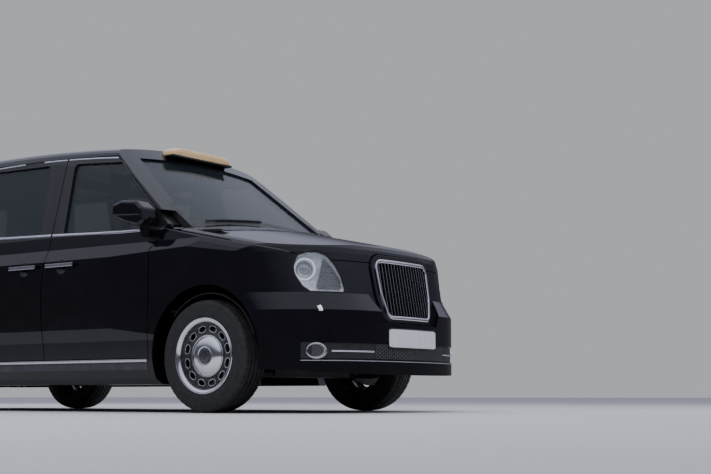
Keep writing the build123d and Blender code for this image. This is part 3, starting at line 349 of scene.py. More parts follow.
MATERIALS = {
    paint: ["bonnet", "wing_*", "front_bumper", "roof", "tailgate", "rear_bumper", "mirror_*"],
    frame_paint: ["side_frame_*", "front_door_left", "front_door_right", "rear_door_left", "rear_door_right"],
    window: ["windscreen", "quarter_glass", "front_door_glass_*", "rear_door_glass_*", "tailgate_glass"],
    rubber: ["tyre_*"],
    steel_black: ["wheel_*"],
    gloss_black: ["grille", "roof_sign"],
    lamp_glass: ["front_lamps"],
    red_lens: ["tail_lamps"],
    trim_black: ["cowl", "arch_liners", "dashboard"],
    chassis: ["floor_pan", "front_suspension", "rear_axle", "knuckle_*"],
    casing: ["power_units"],
    vinyl: ["driver_seat", "passenger_seats"],
    panel_grey: ["partition"],
    leather: ["steering_wheel"],
}


def dress(obj, material):
    """One material over the whole object."""
    obj.data.materials.clear()
    obj.data.materials.append(material)


for material, patterns in MATERIALS.items():
    for name, node in nodes.items():
        if any(fnmatchcase(name, pattern) for pattern in patterns):
            dress(node, material)


# Helpers for pieces
def mesh_from(name, bm):
    """Mesh from a bmesh, which is freed."""
    mesh = bpy.data.meshes.new(name)
    bm.to_mesh(mesh)
    bm.free()
    return mesh


def smooth(mesh, sharp_degrees=None):
    """Smooth faces, with the edges past an angle left sharp."""
    mesh.polygons.foreach_set("use_smooth", [True] * len(mesh.polygons))
    if sharp_degrees:
        mesh.set_sharp_from_angle(angle=math.radians(sharp_degrees))


def add_object(name, data):
    """New object in the scene."""
    thing = bpy.data.objects.new(name, data)
    bpy.context.scene.collection.objects.link(thing)
    return thing


def piece_from(name, bm, material, body, replaces=(), sharp_degrees=35):
    """Object from a bmesh, smooth but for its sharp edges, riding on a body."""
    bmesh.ops.remove_doubles(bm, verts=bm.verts, dist=1e-6)
    bmesh.ops.recalc_face_normals(bm, faces=bm.faces)
    mesh = mesh_from(name, bm)
    smooth(mesh, sharp_degrees)
    mesh.materials.append(material)
    piece = add_object(name, mesh)
    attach(piece, body)
    if replaces:
        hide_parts(*replaces)


def skin_of(*names):
    """Search tree over the surfaces of some CAD nodes."""
    points, faces = [], []
    for name in names:
        mesh = nodes[name].data
        start = len(points)
        points += [vertex.co.copy() for vertex in mesh.vertices]
        faces += [[start + index for index in polygon.vertices] for polygon in mesh.polygons]
    return BVHTree.FromPolygons(points, faces)


def seat_on(skin, start, direction):
    """Where a ray meets the skin, with the normal that faces the ray; None where it misses."""
    point, normal, _, _ = skin.ray_cast(Vector(start), Vector(direction))
    if point is None:
        return None
    if normal.dot(Vector(direction)) > 0:
        normal = -normal
    return point, normal


def on_side(skin, side, x, z):
    """Where a level ray from outside meets the skin of a side."""
    return seat_on(skin, (x, 1.5 * side, z), (0, -side, 0))


def on_nose(skin, y, z):
    """Where a level ray from ahead meets the skin."""
    return seat_on(skin, (3.0, y, z), (-1, 0, 0))


def along(line, step):
    """Evenly spaced points on a polyline of (x, z) or (y, z) points."""
    result = []
    for (a, b), (c, d) in zip(line, line[1:]):
        count = max(1, round(math.hypot(c - a, d - b) / step))
        result += [(a + (c - a) * i / count, b + (d - b) * i / count) for i in range(count)]
    return result + [line[-1]]


def around(outline, step):
    """Evenly spaced points round a closed outline."""
    return along(outline + outline[:1], step)[:-1]


def rounded(outline, radius, steps=6):
    """A closed outline of points with its corners rounded by arcs."""
    result = []
    count = len(outline)
    for i in range(count):
        before, corner, after = (Vector(outline[j % count]) for j in (i - 1, i, i + 1))
        to_before, to_after = (before - corner).normalized(), (after - corner).normalized()
        half = to_before.angle(to_after) / 2
        reach = min(radius / math.tan(half), (before - corner).length * 0.48,
                    (after - corner).length * 0.48)
        size = reach * math.tan(half)
        centre = corner + (to_before + to_after).normalized() * (size / math.sin(half))
        start = corner + to_before * reach - centre
        turn = start.angle_signed(corner + to_after * reach - centre)
        for k in range(steps + 1):
            angle = -turn * k / steps
            result.append((centre.x + start.x * math.cos(angle) - start.y * math.sin(angle),
                           centre.y + start.x * math.sin(angle) + start.y * math.cos(angle)))
    return result


def d_profile(width, proud, depth=0.003):
    """Strip profile of (across, out) points: sunk edges and a softly crowned face."""
    half = width / 2
    return [(-half, -depth), (-half, proud * 0.45), (-half * 0.8, proud * 0.85), (-half * 0.3, proud),
            (half * 0.3, proud), (half * 0.8, proud * 0.85), (half, proud * 0.45), (half, -depth)]


def join_loops(bm, loops, gap=False):
    """Faces from each loop of points to the next, with or without a gap from its last point to its first."""
    for loop, following in zip(loops, loops[1:]):
        count = len(loop)
        for k in range(count - 1 if gap else count):
            bm.faces.new((loop[k], loop[(k + 1) % count], following[(k + 1) % count], following[k]))


def add_bead(bm, route, profile, closed=False):
    """Sweeps a profile along (point, normal) pairs into a bmesh."""
    count = len(route)
    rings = []
    for i, (point, normal) in enumerate(route):
        before = route[(i - 1) % count][0] if closed or i else point
        after = route[(i + 1) % count][0] if closed or i < count - 1 else point
        tangent = (after - before).normalized()
        across = normal.cross(tangent).normalized()
        out = tangent.cross(across).normalized()
        rings.append([bm.verts.new(point + across * a + out * h) for a, h in profile])
    join_loops(bm, rings + rings[:1] if closed else rings)
    if not closed:
        bm.faces.new(rings[0])
        bm.faces.new(list(reversed(rings[-1])))


def bead_piece(name, routes, profile, material, body, closed=False):
    """A piece of beads, each along the points of its route that met their surface."""
    bm = bmesh.new()
    for route in routes:
        add_bead(bm, [item for item in route if item], profile, closed)
    piece_from(name, bm, material, body)


def wheel_point(centre, side, out, radius, angle):
    """Place so far outboard of a wheel's middle, at a radius and an angle about its axle."""
    return (centre[0] + radius * math.cos(angle), centre[1] + side * out,
            centre[2] + radius * math.sin(angle))


def add_turned(bm, profile, centre, segments, side, closed=False, offset=None):
    """Revolves a profile of (out, radius) points about the wheel's axis, a line along Y."""
    rings = []
    for k in range(segments):
        angle = 2 * math.pi * k / segments
        ring = []
        for out, radius in profile:
            if offset:
                radius += offset(k, out)
            ring.append(bm.verts.new(wheel_point(centre, side, out, radius, angle)))
        rings.append(ring)
    join_loops(bm, rings + rings[:1], gap=not closed)


# Tyres and wheels
def tread_profile():
    """Half of a tyre's section from the tread's middle to the outboard bead, as (out, radius) points."""
    groove = 0.007

    def crown(out):
        return TYRE_RADIUS - 0.004 * (out / 0.074) ** 2

    tread = []
    for start, end in ((0.0145, 0.0225), (0.047, 0.0555)):
        tread += [(start - 0.001, crown(start)), (start, crown(start) - groove), (end, crown(end) - groove),
                  (end + 0.001, crown(end))]
    shoulder = [(0.066, 0.3468), (0.074, 0.3458), (0.082, 0.3438), (0.089, 0.3413), (0.095, 0.3352),
                (0.0975, 0.3300)]
    wall = [(0.1012, 0.3185), (0.1040, 0.3065), (0.1036, 0.3052), (0.1040, 0.3038), (0.1062, 0.2930),
            (0.1073, 0.2810), (0.1070, 0.2700), (0.1062, 0.2645), (0.1069, 0.2628), (0.1060, 0.2610),
            (0.1046, 0.2530), (0.1022, 0.2460), (0.1028, 0.2438), (0.1006, 0.2405), (0.0975, 0.2345),
            (0.0940, 0.2290), (0.0920, 0.2192)]
    return [(0.0, crown(0)), *tread, *shoulder, *wall]


def tread_cut(k, out):
    """How much a tread point is lowered by the sipes between the blocks."""
    reach = abs(out)
    phase = (k + (3 if out < 0 else 0)) % 6
    if 0.058 < reach < 0.0935 and phase == 0:
        return -0.0050
    if 0.024 < reach < 0.0462 and (phase + 2) % 6 == 0:
        return -0.0040
    return 0.0


def tyre(name, centre, side, body):
    """Tyre with its tread cut into blocks."""
    half = tread_profile()
    full = [(-out, radius) for out, radius in reversed(half[1:])] + half
    inside = [(0.0880, 0.2250), (0.0980, 0.2800), (0.0800, 0.3300), (-0.0800, 0.3300), (-0.0980, 0.2800),
              (-0.0880, 0.2250)]
    bm = bmesh.new()
    add_turned(bm, full + inside, centre, TREAD_SEGMENTS, side, closed=True, offset=tread_cut)
    piece_from(name + "_tread", bm, rubber, body, (name,), sharp_degrees=40)


def disc_out(radius):
    """How far the pressed disc stands outboard at a radius."""
    share = (radius - DISC_INNER) / (DISC_OUTER - DISC_INNER)
    crown = 0.0075 * math.sin(math.pi * min(max(share, 0), 1))
    return 0.0585 + crown + 0.012 * max(share - 0.55, 0) ** 2 / 0.2


def slot_loop(growth, count):
    """Points (radius, angle about the axle) of a slot grown towards its sector's borders, 0 to 1."""
    half_turn = math.pi / SLOT_COUNT * SLOT_CIRCLE
    low, high = SLOT_CIRCLE - DISC_INNER, DISC_OUTER - SLOT_CIRCLE
    loop = []
    for k in range(count):
        turn = 2 * math.pi * (k + 0.5) / count
        c, s = math.cos(turn), math.sin(turn)
        across = SLOT_HALF_LENGTH * math.copysign(abs(c) ** 0.75, c)
        up = SLOT_HALF_WIDTH * math.copysign(abs(s) ** 0.9, s)
        edge = min(half_turn / max(abs(c), 1e-9), (high if s > 0 else low) / max(abs(s), 1e-9))
        border_across, border_up = edge * c, edge * s
        across += (border_across - across) * growth
        up += (border_up - up) * growth
        loop.append((SLOT_CIRCLE + up, across / SLOT_CIRCLE))
    return loop


def add_slotted_disc(bm, centre, side):
    """Pressed disc with its ring of slots, their edges rolled inwards."""
    levels = [(-0.16, -0.010), (-0.10, -0.004), (0.0, -0.0008), (0.10, 0.0010), (0.22, 0.0), (0.5, 0.0),
              (0.78, 0.0), (1.0, 0.0)]
    for middle in SLOT_MIDDLES:
        loops = []
        for growth, lift in levels:
            loop = []
            for radius, angle in slot_loop(growth, SLOT_POINTS):
                place = wheel_point(centre, side, disc_out(radius) + lift, radius, middle + angle)
                loop.append(bm.verts.new(place))
            loops.append(loop)
        join_loops(bm, loops)


def add_slot_rings(bm, centre, side):
    """Thin bright edge round each slot."""
    for middle in SLOT_MIDDLES:
        route = []
        for radius, angle in slot_loop(0.03, 40):
            point = wheel_point(centre, side, disc_out(radius), radius, middle + angle)
            route.append((Vector(point), Vector((0, side, 0))))
        add_bead(bm, route, d_profile(0.0036, 0.0012, 0.001), closed=True)


def wheel(name, centre, side, body):
    """Slotted disc, rim barrel, bright trim ring and slot edges, domed cap, and the brake disc behind."""
    bm = bmesh.new()
    add_slotted_disc(bm, centre, side)
    disc_edge = [(0.0460, DISC_INNER), (disc_out(DISC_INNER), DISC_INNER)]
    add_turned(bm, disc_edge, centre, WHEEL_SEGMENTS, side)
    barrel = [(disc_out(DISC_OUTER), DISC_OUTER), (0.0790, 0.2090), (0.0900, 0.2110), (0.0960, 0.2170),
              (0.0995, 0.2335), (0.0960, 0.2335), (0.0935, 0.2190), (0.0600, 0.2180), (-0.0935, 0.2180),
              (-0.0960, 0.2335), (-0.1000, 0.2335), (-0.0960, 0.2130), (-0.0700, 0.2110), (-0.0500, 0.1960),
              (0.0500, 0.1960), (0.0560, DISC_OUTER - 0.002)]
    add_turned(bm, barrel, centre, WHEEL_SEGMENTS, side)
    hub = [(0.0460, DISC_INNER), (0.0460, 0.0330), (0.0560, 0.0330), (0.0600, 0.0600),
           (disc_out(DISC_INNER), DISC_INNER)]
    add_turned(bm, hub, centre, WHEEL_SEGMENTS, side)
    piece_from(name + "_disc", bm, steel_black, body, (name,), sharp_degrees=50)

    bm = bmesh.new()
    ring = [(0.0780, 0.2062), (0.0850, 0.2056), (0.0930, 0.2092), (0.0985, 0.2160), (0.1018, 0.2230),
            (0.1034, 0.2290), (0.1034, 0.2333), (0.1010, 0.2350), (0.0992, 0.2335), (0.0940, 0.2160)]
    add_turned(bm, ring, centre, WHEEL_SEGMENTS, side, closed=True)
    add_slot_rings(bm, centre, side)
    cap = [(0.0590, 0.1300), (0.0640, 0.1312), (0.0680, 0.1296), (0.0690, 0.1262), (0.0668, 0.1225),
           (0.0690, 0.1180), (0.0745, 0.1120), (0.0800, 0.1030), (0.0850, 0.0900), (0.0886, 0.0760),
           (0.0908, 0.0620), (0.0914, 0.0560), (0.0902, 0.0535), (0.0902, 0.0518), (0.0880, 0.0500)]
    add_turned(bm, cap, centre, WHEEL_SEGMENTS, side)
    piece_from(name + "_bright", bm, chrome, body, sharp_degrees=60)

    bm = bmesh.new()
    centre_cap = [(0.0880, 0.0510), (0.0912, 0.0500), (0.0925, 0.0470), (0.0945, 0.0300), (0.0952, 0.0120),
                  (0.0954, 0.0005)]
    add_turned(bm, centre_cap, centre, WHEEL_SEGMENTS, side)
    piece_from(name + "_cap_centre", bm, lamp_grey, body)

    bm = bmesh.new()
    brake = [(0.0270, 0.0620), (0.0270, 0.1690), (0.0400, 0.1690), (0.0400, 0.1000), (0.0445, 0.0980),
             (0.0445, 0.0620)]
    add_turned(bm, brake, centre, WHEEL_SEGMENTS, side, closed=True)
    piece_from(name + "_brake_disc", bm, disc_steel, body, sharp_degrees=25)


for end, axle_x in (("front", front_axle_x), ("rear", rear_axle_x)):
    for side_name, side in sides:
        place = (axle_x, side * track_half, axle_z)
        wheel_body = f"{end}_wheel_{side_name}_body"
        tyre(f"tyre_{end}_{side_name}", place, side, wheel_body)
        wheel(f"wheel_{end}_{side_name}", place, side, wheel_body)


# Bright lines along the side, a piece for each panel
SIDE_BODIES = {"wing": "body", "front_door": "front_door_{}_body", "rear_door": "rear_door_{}_body",
               "side_frame": "body"}


def side_strip(name, line, profile, material, parts=("front_door", "rear_door", "side_frame")):
    """A strip along the side, cut where one panel gives way to the next, each length on its panel's body."""
    for side_name, side in sides:
        for part in parts:
            skin = skin_of(f"{part}_{side_name}")
            others = skin_of(*[f"{other}_{side_name}" for other in SIDE_BODIES if other != part])
            runs, run = [], []
            for x, z in along(line, 0.008):
                here = on_side(skin, side, x, z)
                there = on_side(others, side, x, z)
                shown = here and (not there or side * (here[0].y - there[0].y) > -0.001)
                if shown:
                    run.append(here)
                elif run:
                    runs.append(run)
                    run = []
            if run:
                runs.append(run)
            runs = [run for run in runs if len(run) > 4]
            if runs:
                body = SIDE_BODIES[part].format(side_name)
                bead_piece(f"{name}_{part}_{side_name}", runs, profile, material, body)


all_parts = ("wing", "front_door", "rear_door", "side_frame")
side_strip("belt_strip", BELT_LINE, d_profile(0.017, 0.0022), satin_bright, all_parts)
sill_line = [(SILL_LINE_X[0], SILL_LINE_Z), (SILL_LINE_X[1], SILL_LINE_Z)]
side_strip("sill_strip", sill_line, d_profile(0.018, 0.0026), satin_bright, ("side_frame",))
band_line = [(SILL_LINE_X[0], SILL_BAND_Z), (SILL_LINE_X[1], SILL_BAND_Z)]
side_strip("sill_band", band_line, d_profile(0.044, 0.0016), band_grey, ("side_frame",))
drip_line = []
for step in range(DRIP_POINTS + 1):
    drip_x = DRIP_X[0] + (DRIP_X[1] - DRIP_X[0]) * step / DRIP_POINTS
    drip_line.append((drip_x, DRIP_SUMMIT[1] - DRIP_DROP * (drip_x - DRIP_SUMMIT[0]) ** 2))
side_strip("drip_strip", drip_line, d_profile(0.009, 0.0022), satin_bright)


def door_handles():
    """Bright sleeves over the doors' grips."""
    for side_name, side in sides:
        for end, (rear_x, front_x) in HANDLES_X.items():
            skin = skin_of(f"{end}_door_{side_name}")
            route = []
            for k in range(HANDLE_POINTS + 1):
                x = rear_x + (front_x - rear_x) * k / HANDLE_POINTS
                found = on_side(skin, side, x, HANDLE_Z)
                route.append((found[0], Vector((0, side, 0))))
            bead_piece(f"{end}_handle_{side_name}", [route], d_profile(0.024, 0.0012, 0.008), satin_bright,
                       f"{end}_door_{side_name}_body")


door_handles()


# Nose: grille, plate, lower intake, lamps
bumper_skin = skin_of("front_bumper")
grille_skin = skin_of("grille")
lamp_skin = skin_of("front_lamps")


def nose_route(skin, line, step=0.01):
    """Points of the nose under a line of (y, z) points, facing forward."""
    return [item for item in (on_nose(skin, y, z) for y, z in along(line, step)) if item]


def grille_frame():
    """Bright frame round the grille, on the lip of the black one."""
    inner = GRILLE_FRAME_WIDTH * 0.5
    right = [(y - inner, z) for y, z in GRILLE_SIDE]
    right[0] = (right[0][0], right[0][1] + inner)
    right[-1] = (right[-1][0], right[-1][1] - inner)
    outline = right + [(-y, z) for y, z in reversed(right)]
    route = []
    for y, z in around(rounded(outline, GRILLE_CORNER - inner, 10), 0.012):
        found = on_nose(grille_skin, y, z)
        if found:
            route.append((found[0], Vector((1, 0, 0.17)).normalized()))
    bead_piece("grille_frame", [route], d_profile(0.021, 0.0045, 0.012), chrome, "body",
               closed=True)


def grille_side_y(z):
    """Half width of the grille at a height."""
    for (low_y, low_z), (high_y, high_z) in zip(GRILLE_SIDE, GRILLE_SIDE[1:]):
        if low_z <= z <= high_z:
            return low_y + (high_y - low_y) * (z - low_z) / (high_z - low_z)
    return 0.0


def grille_blades():
    """Upright blades over the grille's bars, each with a thin bright edge."""
    bm = bmesh.new()
    edges = bmesh.new()
    margin = GRILLE_FRAME_WIDTH + 0.001
    for k in range(BAR_COUNT):
        y = (k - (BAR_COUNT - 1) / 2) * BAR_PITCH
        reach = [z / 1000 for z in BLADE_Z_MILLIMETRES
                 if grille_side_y(z / 1000) - margin - 0.35 * max(0, 0.615 - z / 1000) > abs(y) + 0.004]
        route = nose_route(grille_skin, [(y, reach[0]), (y, reach[-1])], 0.012)
        add_bead(bm, route, [(-0.0045, -0.002), (-0.0040, 0.007), (-0.0018, 0.0105), (0.0018, 0.0105),
                             (0.0040, 0.007), (0.0045, -0.002)])
        lifted = [(point + normal * 0.0102, normal) for point, normal in route]
        add_bead(edges, lifted, d_profile(0.0022, 0.0010, 0.001))
    piece_from("grille_blades", bm, gloss_black, "body")
    piece_from("grille_blade_edges", edges, satin_bright, "body")


def front_plate():
    """Blank plate bent along the bumper, on its black holder."""
    middle_z = PLATE_BOTTOM_Z + PLATE_SIZE[1] / 2
    for name, margin, proud, sink, material in (("plate_holder", 0.016, 0.0014, 0.004, trim_black),
                                                ("front_plate", 0.0, 0.0026, 0.0, plate_white)):
        half_width, half_height = (PLATE_SIZE[0] + margin) / 2, (PLATE_SIZE[1] + margin) / 2
        bm = bmesh.new()
        levels = []
        for inset, out in ((0.0, -sink), (0.0, proud - 0.001), (0.001, proud)):
            level = []
            for k in range(PLATE_COLUMNS + 1):
                y = -half_width + inset + (2 * half_width - 2 * inset) * k / PLATE_COLUMNS
                edge = max(0.0, abs(y) - (half_width - PLATE_CORNER))
                cut = PLATE_CORNER - math.sqrt(max(0.0, PLATE_CORNER ** 2 - edge ** 2)) if edge else 0.0
                point, _ = on_nose(bumper_skin, y, middle_z)
                low = middle_z - half_height + inset + cut
                high = middle_z + half_height - inset - cut
                level.append((bm.verts.new((point.x + out, y, low)), bm.verts.new((point.x + out, y, high))))
            levels.append(level)
        for level, following in zip(levels, levels[1:]):
            for k in range(PLATE_COLUMNS):
                bm.faces.new((level[k][0], level[k + 1][0], following[k + 1][0], following[k][0]))
                bm.faces.new((level[k][1], level[k + 1][1], following[k + 1][1], following[k][1]))
            for k in (0, PLATE_COLUMNS):
                bm.faces.new((level[k][0], level[k][1], following[k][1], following[k][0]))
        for level in (levels[0], levels[-1]):
            for k in range(PLATE_COLUMNS):
                bm.faces.new((level[k][0], level[k + 1][0], level[k + 1][1], level[k][1]))
        piece_from(name, bm, material, "body")


def intake_mesh():
    """Honeycomb in the middle of the lower intake."""
    bm = bmesh.new()
    column_pitch = HEX_SIZE * 1.5
    row_pitch = HEX_SIZE * math.sqrt(3)
    columns = int(HEX_HALF_WIDTH / column_pitch)
    middle_z = sum(INTAKE_Z) / 2
    for column in range(-columns, columns + 1):
        for row in range(-3, 4):
            z = middle_z + (row + (0.5 if column % 2 else 0)) * row_pitch
            y = column * column_pitch
            if not INTAKE_Z[0] + row_pitch * 0.5 < z < INTAKE_Z[1] - row_pitch * 0.5:
                continue
            cell = []
            for k in range(6):
                a, b = y + HEX_SIZE * math.cos(k * math.pi / 3), z + HEX_SIZE * math.sin(k * math.pi / 3)
                found = on_nose(bumper_skin, a, b)
                cell.append(bm.verts.new(found[0] + Vector((0.004, 0, 0))))
            bm.faces.new(cell)
    bmesh.ops.remove_doubles(bm, verts=bm.verts, dist=0.0008)
    bmesh.ops.recalc_face_normals(bm, faces=bm.faces)
    bmesh.ops.wireframe(bm, faces=bm.faces, thickness=0.0036, use_replace=True, use_boundary=True,
                        use_even_offset=True)
    piece_from("intake_mesh", bm, mesh_grey, "body")


def intake_liner():
    """Black lining of the lower intake, over the bumper's recess."""
    bm = bmesh.new()
    rows = []
    for edge_z, past, sunk in ((INTAKE_Z[0], -0.002, 0.004), (INTAKE_Z[0], 0, -0.0012),
                               (INTAKE_Z[1], 0, -0.0012), (INTAKE_Z[1], 0.002, 0.004)):
        row = []
        for k in range(LINER_COLUMNS + 1):
            y = -INTAKE_HALF_WIDTH + 0.02 * k
            found = on_nose(bumper_skin, y, edge_z)
            row.append(bm.verts.new((found[0].x - sunk, y, edge_z + past)))
        rows.append(row)
    join_loops(bm, rows, gap=True)
    piece_from("intake_liner", bm, trim_black, "body")


def lower_trim():
    """Bright bar between each fog lamp and the mesh, and the bright line of the splitter."""
    for side_name, side in sides:
        line = [(side * y, FOG_CENTRE[2] - 0.002) for y in FOG_BAR_Y]
        bead_piece(f"fog_bar_{side_name}", [nose_route(bumper_skin, line)], d_profile(0.011, 0.0075, 0.001),
                   chrome, "body")
    line = [(-INTAKE_HALF_WIDTH, SPLITTER_Z), (INTAKE_HALF_WIDTH, SPLITTER_Z)]
    bead_piece("splitter_line", [nose_route(bumper_skin, line)], d_profile(0.005, 0.0014), satin_bright,
               "body")


def lamp_point(side, run, z, depth):
    """Point in a headlamp: run along the nose's corner, height, and depth behind the cover."""
    along_nose = Vector((1, 1, 0)).normalized()
    outward = Vector((1, -1, 0)).normalized()
    start = along_nose * run + outward * 3.2 + Vector((0, 0, z))
    ray = -outward
    if side > 0:
        start.y, ray.y = -start.y, -ray.y
        outward = Vector((outward.x, -outward.y, 0))
    found = seat_on(lamp_skin, start, ray)
    return found[0] - outward * depth if found else None


def lamp_frame(side):
    """Axes of a headlamp: along the nose, up and outward."""
    return Vector((1, -side, 0)).normalized(), Vector((0, 0, 1)), Vector((1, side, 0)).normalized()


def add_lamp_round(bm, side, centre, profile):
    """Revolves (out, radius) points about a headlamp's outward axis at (run, z)."""
    run_axis, up_axis, out_axis = lamp_frame(side)
    middle = lamp_point(side, centre[0], centre[1], LENS_DEPTH)
    rings = []
    for k in range(LENS_SEGMENTS):
        angle = 2 * math.pi * k / LENS_SEGMENTS
        arm = run_axis * math.cos(angle) + up_axis * math.sin(angle)
        rings.append([bm.verts.new(middle + arm * radius + out_axis * out) for out, radius in profile])
    join_loops(bm, rings + rings[:1], gap=True)


def headlamps():
    """A pale housing, a dark seal, a round lens in its white ring and a ribbed grey reflector for each."""
    middle_run = sum(run for run, _ in LAMP_OUTLINE) / len(LAMP_OUTLINE)
    middle_z = sum(z for _, z in LAMP_OUTLINE) / len(LAMP_OUTLINE)
    outline = around(rounded(LAMP_OUTLINE, 0.02, 4), 0.012)
    for side_name, side in sides:
        bm = bmesh.new()
        loops = []
        for share, depth in ((0.975, 0.004), (0.955, 0.016), (0.90, 0.026), (0.75, 0.033), (0.45, 0.036),
                             (0.1, 0.038)):
            loop = []
            for run, z in outline:
                point = None
                scale = share
                while point is None:
                    point = lamp_point(side, middle_run + (run - middle_run) * scale,
                                       middle_z + (z - middle_z) * scale, depth)
                    scale -= 0.01
                loop.append(bm.verts.new(point))
            loops.append(loop)
        join_loops(bm, loops)
        bm.faces.new(loops[-1])
        piece_from(f"lamp_housing_{side_name}", bm, lamp_silver, "body")

        route = []
        for run, z in outline:
            point = lamp_point(side, middle_run + (run - middle_run) * 0.975,
                               middle_z + (z - middle_z) * 0.975, -0.001)
            if point:
                route.append((point, lamp_frame(side)[2]))
        bead_piece(f"lamp_seal_{side_name}", [route], d_profile(0.011, 0.0016, 0.004), gloss_black, "body",
                   closed=True)

        bm = bmesh.new()
        add_lamp_round(bm, side, LENS_CENTRE, [(-0.012, 0.070), (0.004, 0.071), (0.009, 0.068),
                                               (0.010, 0.062), (0.006, 0.056), (0.000, 0.053)])
        piece_from(f"lamp_ring_{side_name}", bm, lamp_white, "body")

        bm = bmesh.new()
        add_lamp_round(bm, side, LENS_CENTRE, [(0.000, 0.053), (0.003, 0.050), (0.001, 0.046),
                                               (-0.006, 0.040)])
        add_lamp_round(bm, side, LENS_CENTRE, [(-0.002, 0.033), (0.004, 0.030), (0.010, 0.022),
                                               (0.013, 0.012), (0.014, 0.0005)])
        piece_from(f"lamp_lens_{side_name}", bm, lens_grey, "body")

        bm = bmesh.new()
        grid = []
        height = REFLECTOR_Z[1] - REFLECTOR_Z[0]
        for row in range(REFLECTOR_RIBS + 1):
            line = []
            z = REFLECTOR_Z[0] + height * row / REFLECTOR_RIBS
            low_run = REFLECTOR_RUN[0] + 0.045 * (z - REFLECTOR_Z[0]) / height
            high_run = REFLECTOR_RUN[1] - 0.085 * max(0, z - 0.80) / 0.13 - 0.02 * max(0, z - 0.88) / 0.05
            for column in range(REFLECTOR_COLUMNS + 1):
                run = low_run + (high_run - low_run) * column / REFLECTOR_COLUMNS
                point = lamp_point(side, run, z, 0.016 + 0.004 * abs(math.sin(row * math.pi / 2)))
                if point is None:
                    point = lamp_point(side, run - 0.02, z, 0.02)
                line.append(bm.verts.new(point))
            grid.append(line)
        join_loops(bm, grid, gap=True)
        piece_from(f"lamp_reflector_{side_name}", bm, lamp_grey, "body")


def fog_lamps():
    """Bright oval ring and a faceted bowl behind each fog lamp's cover."""
    turns = [2 * math.pi * k / FOG_SEGMENTS for k in range(FOG_SEGMENTS)]
    for side_name, side in sides:
        centre = Vector((FOG_CENTRE[0], side * FOG_CENTRE[1], FOG_CENTRE[2]))
        run_axis, up_axis, out_axis = lamp_frame(side)
        face, _ = seat_on(lamp_skin, centre + out_axis, -out_axis)
        route = []
        for turn in turns:
            offset = (run_axis * math.cos(turn) * FOG_RING_HALF[0]
                      + up_axis * math.sin(turn) * FOG_RING_HALF[1])
            hit = seat_on(lamp_skin, centre + offset * 0.96 + out_axis, -out_axis)
            point = (hit[0] if hit else face) + offset * 0.04
            route.append((point, out_axis))
        bead_piece(f"fog_ring_{side_name}", [route], d_profile(0.009, 0.004, 0.003), chrome, "body",
                   closed=True)
        bm = bmesh.new()
        rings = []
        for share, depth in ((0.93, 0.003), (0.80, 0.012), (0.55, 0.020), (0.30, 0.024), (0.26, 0.014),
                             (0.02, 0.010)):
            ring = []
            for k, turn in enumerate(turns):
                flute = 0.0022 * (1 if k % 2 else -1) * (1 if 0.3 < share < 0.9 else 0)
                offset = (run_axis * math.cos(turn) * FOG_BOWL_HALF[0] * share
                          + up_axis * math.sin(turn) * FOG_BOWL_HALF[1] * share)
                ring.append(bm.verts.new(face + offset - out_axis * (depth + flute)))
            rings.append(ring)
        join_loops(bm, rings)
        bm.faces.new(rings[-1])
        piece_from(f"fog_bowl_{side_name}", bm, lamp_silver, "body")


def painted_reflection_spots():
    """Painted reflection: a small pale square on each corner of the bumper, standing in for a spot of
    reflected light.
    """
    for side_name, side in sides:
        y, z = REFLECTION_SPOT_PLACE
        route = nose_route(bumper_skin, [(side * y, z - 0.016), (side * y, z + 0.016)], 0.008)
        bead_piece(f"painted_reflection_spot_{side_name}", [route], d_profile(0.024, 0.002, 0.003), lamp_white, "body")


grille_frame()
grille_blades()
front_plate()
intake_liner()
intake_mesh()
lower_trim()
headlamps()
fog_lamps()
# Painted reflection spots on the bumper corners
painted_reflection_spots()


# Mirrors, wipers and seals
def mirror_details():
    """Bright split line round each mirror's head, and its glass on the rear face."""
    for side_name, side in sides:
        body = f"front_door_{side_name}_body"
        skin = skin_of(f"mirror_{side_name}")
        route = []
        for k in range(21):
            x = MIRROR_SPLIT_X + 0.0125 * k
            route.append(on_side(skin, side, x, MIRROR_SPLIT_Z + (0.86 - x) * MIRROR_SPLIT_RISE))
        bead_piece(f"mirror_line_{side_name}", [route], d_profile(0.007, 0.0004, 0.002), band_grey, body)
        bm = bmesh.new()
        middle_y, middle_z = MIRROR_GLASS_MIDDLE
        loops = []
        for scale, out in ((1.0, -0.004), (1.0, 0.0012), (0.95, 0.0022), (0.5, 0.0018), (0.05, 0.0016)):
            loop = []
            for y, z in rounded(MIRROR_GLASS, 0.018):
                scaled_y, scaled_z = middle_y + (y - middle_y) * scale, middle_z + (z - middle_z) * scale
                found = seat_on(skin, (0.5, side * scaled_y, scaled_z), (1, 0, 0))
                loop.append(bm.verts.new(found[0] + Vector((-out, 0, 0))))
            loops.append(loop)
        join_loops(bm, loops)
        bm.faces.new(loops[-1])
        piece_from(f"mirror_glass_{side_name}", bm, mirror_glass, body)


def wipers():
    """Two arms parked along the foot of the windscreen, with their blades."""
    skin = skin_of("windscreen", "cowl")
    for name, pivot_y, tip_y, tip_z in WIPERS:
        bm = bmesh.new()
        route = []
        for k in range(WIPER_POINTS + 1):
            y = pivot_y + (tip_y - pivot_y) * k / WIPER_POINTS
            z = WIPER_FOOT_Z + (tip_z - WIPER_FOOT_Z) * (k / WIPER_POINTS) ** 0.8
            found = on_nose(skin, y, z)
            if found:
                route.append((found[0] + found[1] * 0.010, found[1]))
        add_bead(bm, route, [(-0.007, -0.003), (-0.006, 0.004), (0.006, 0.004), (0.007, -0.003)])
        blade = [(point - normal * 0.004 + Vector((0, 0, -0.012)), normal) for point, normal in route[6:]]
        add_bead(bm, blade, [(-0.004, -0.006), (-0.009, 0.001), (-0.003, 0.009), (0.003, 0.009),
                             (0.009, 0.001), (0.004, -0.006)])
        piece_from(f"wiper_{name}", bm, trim_black, "body")


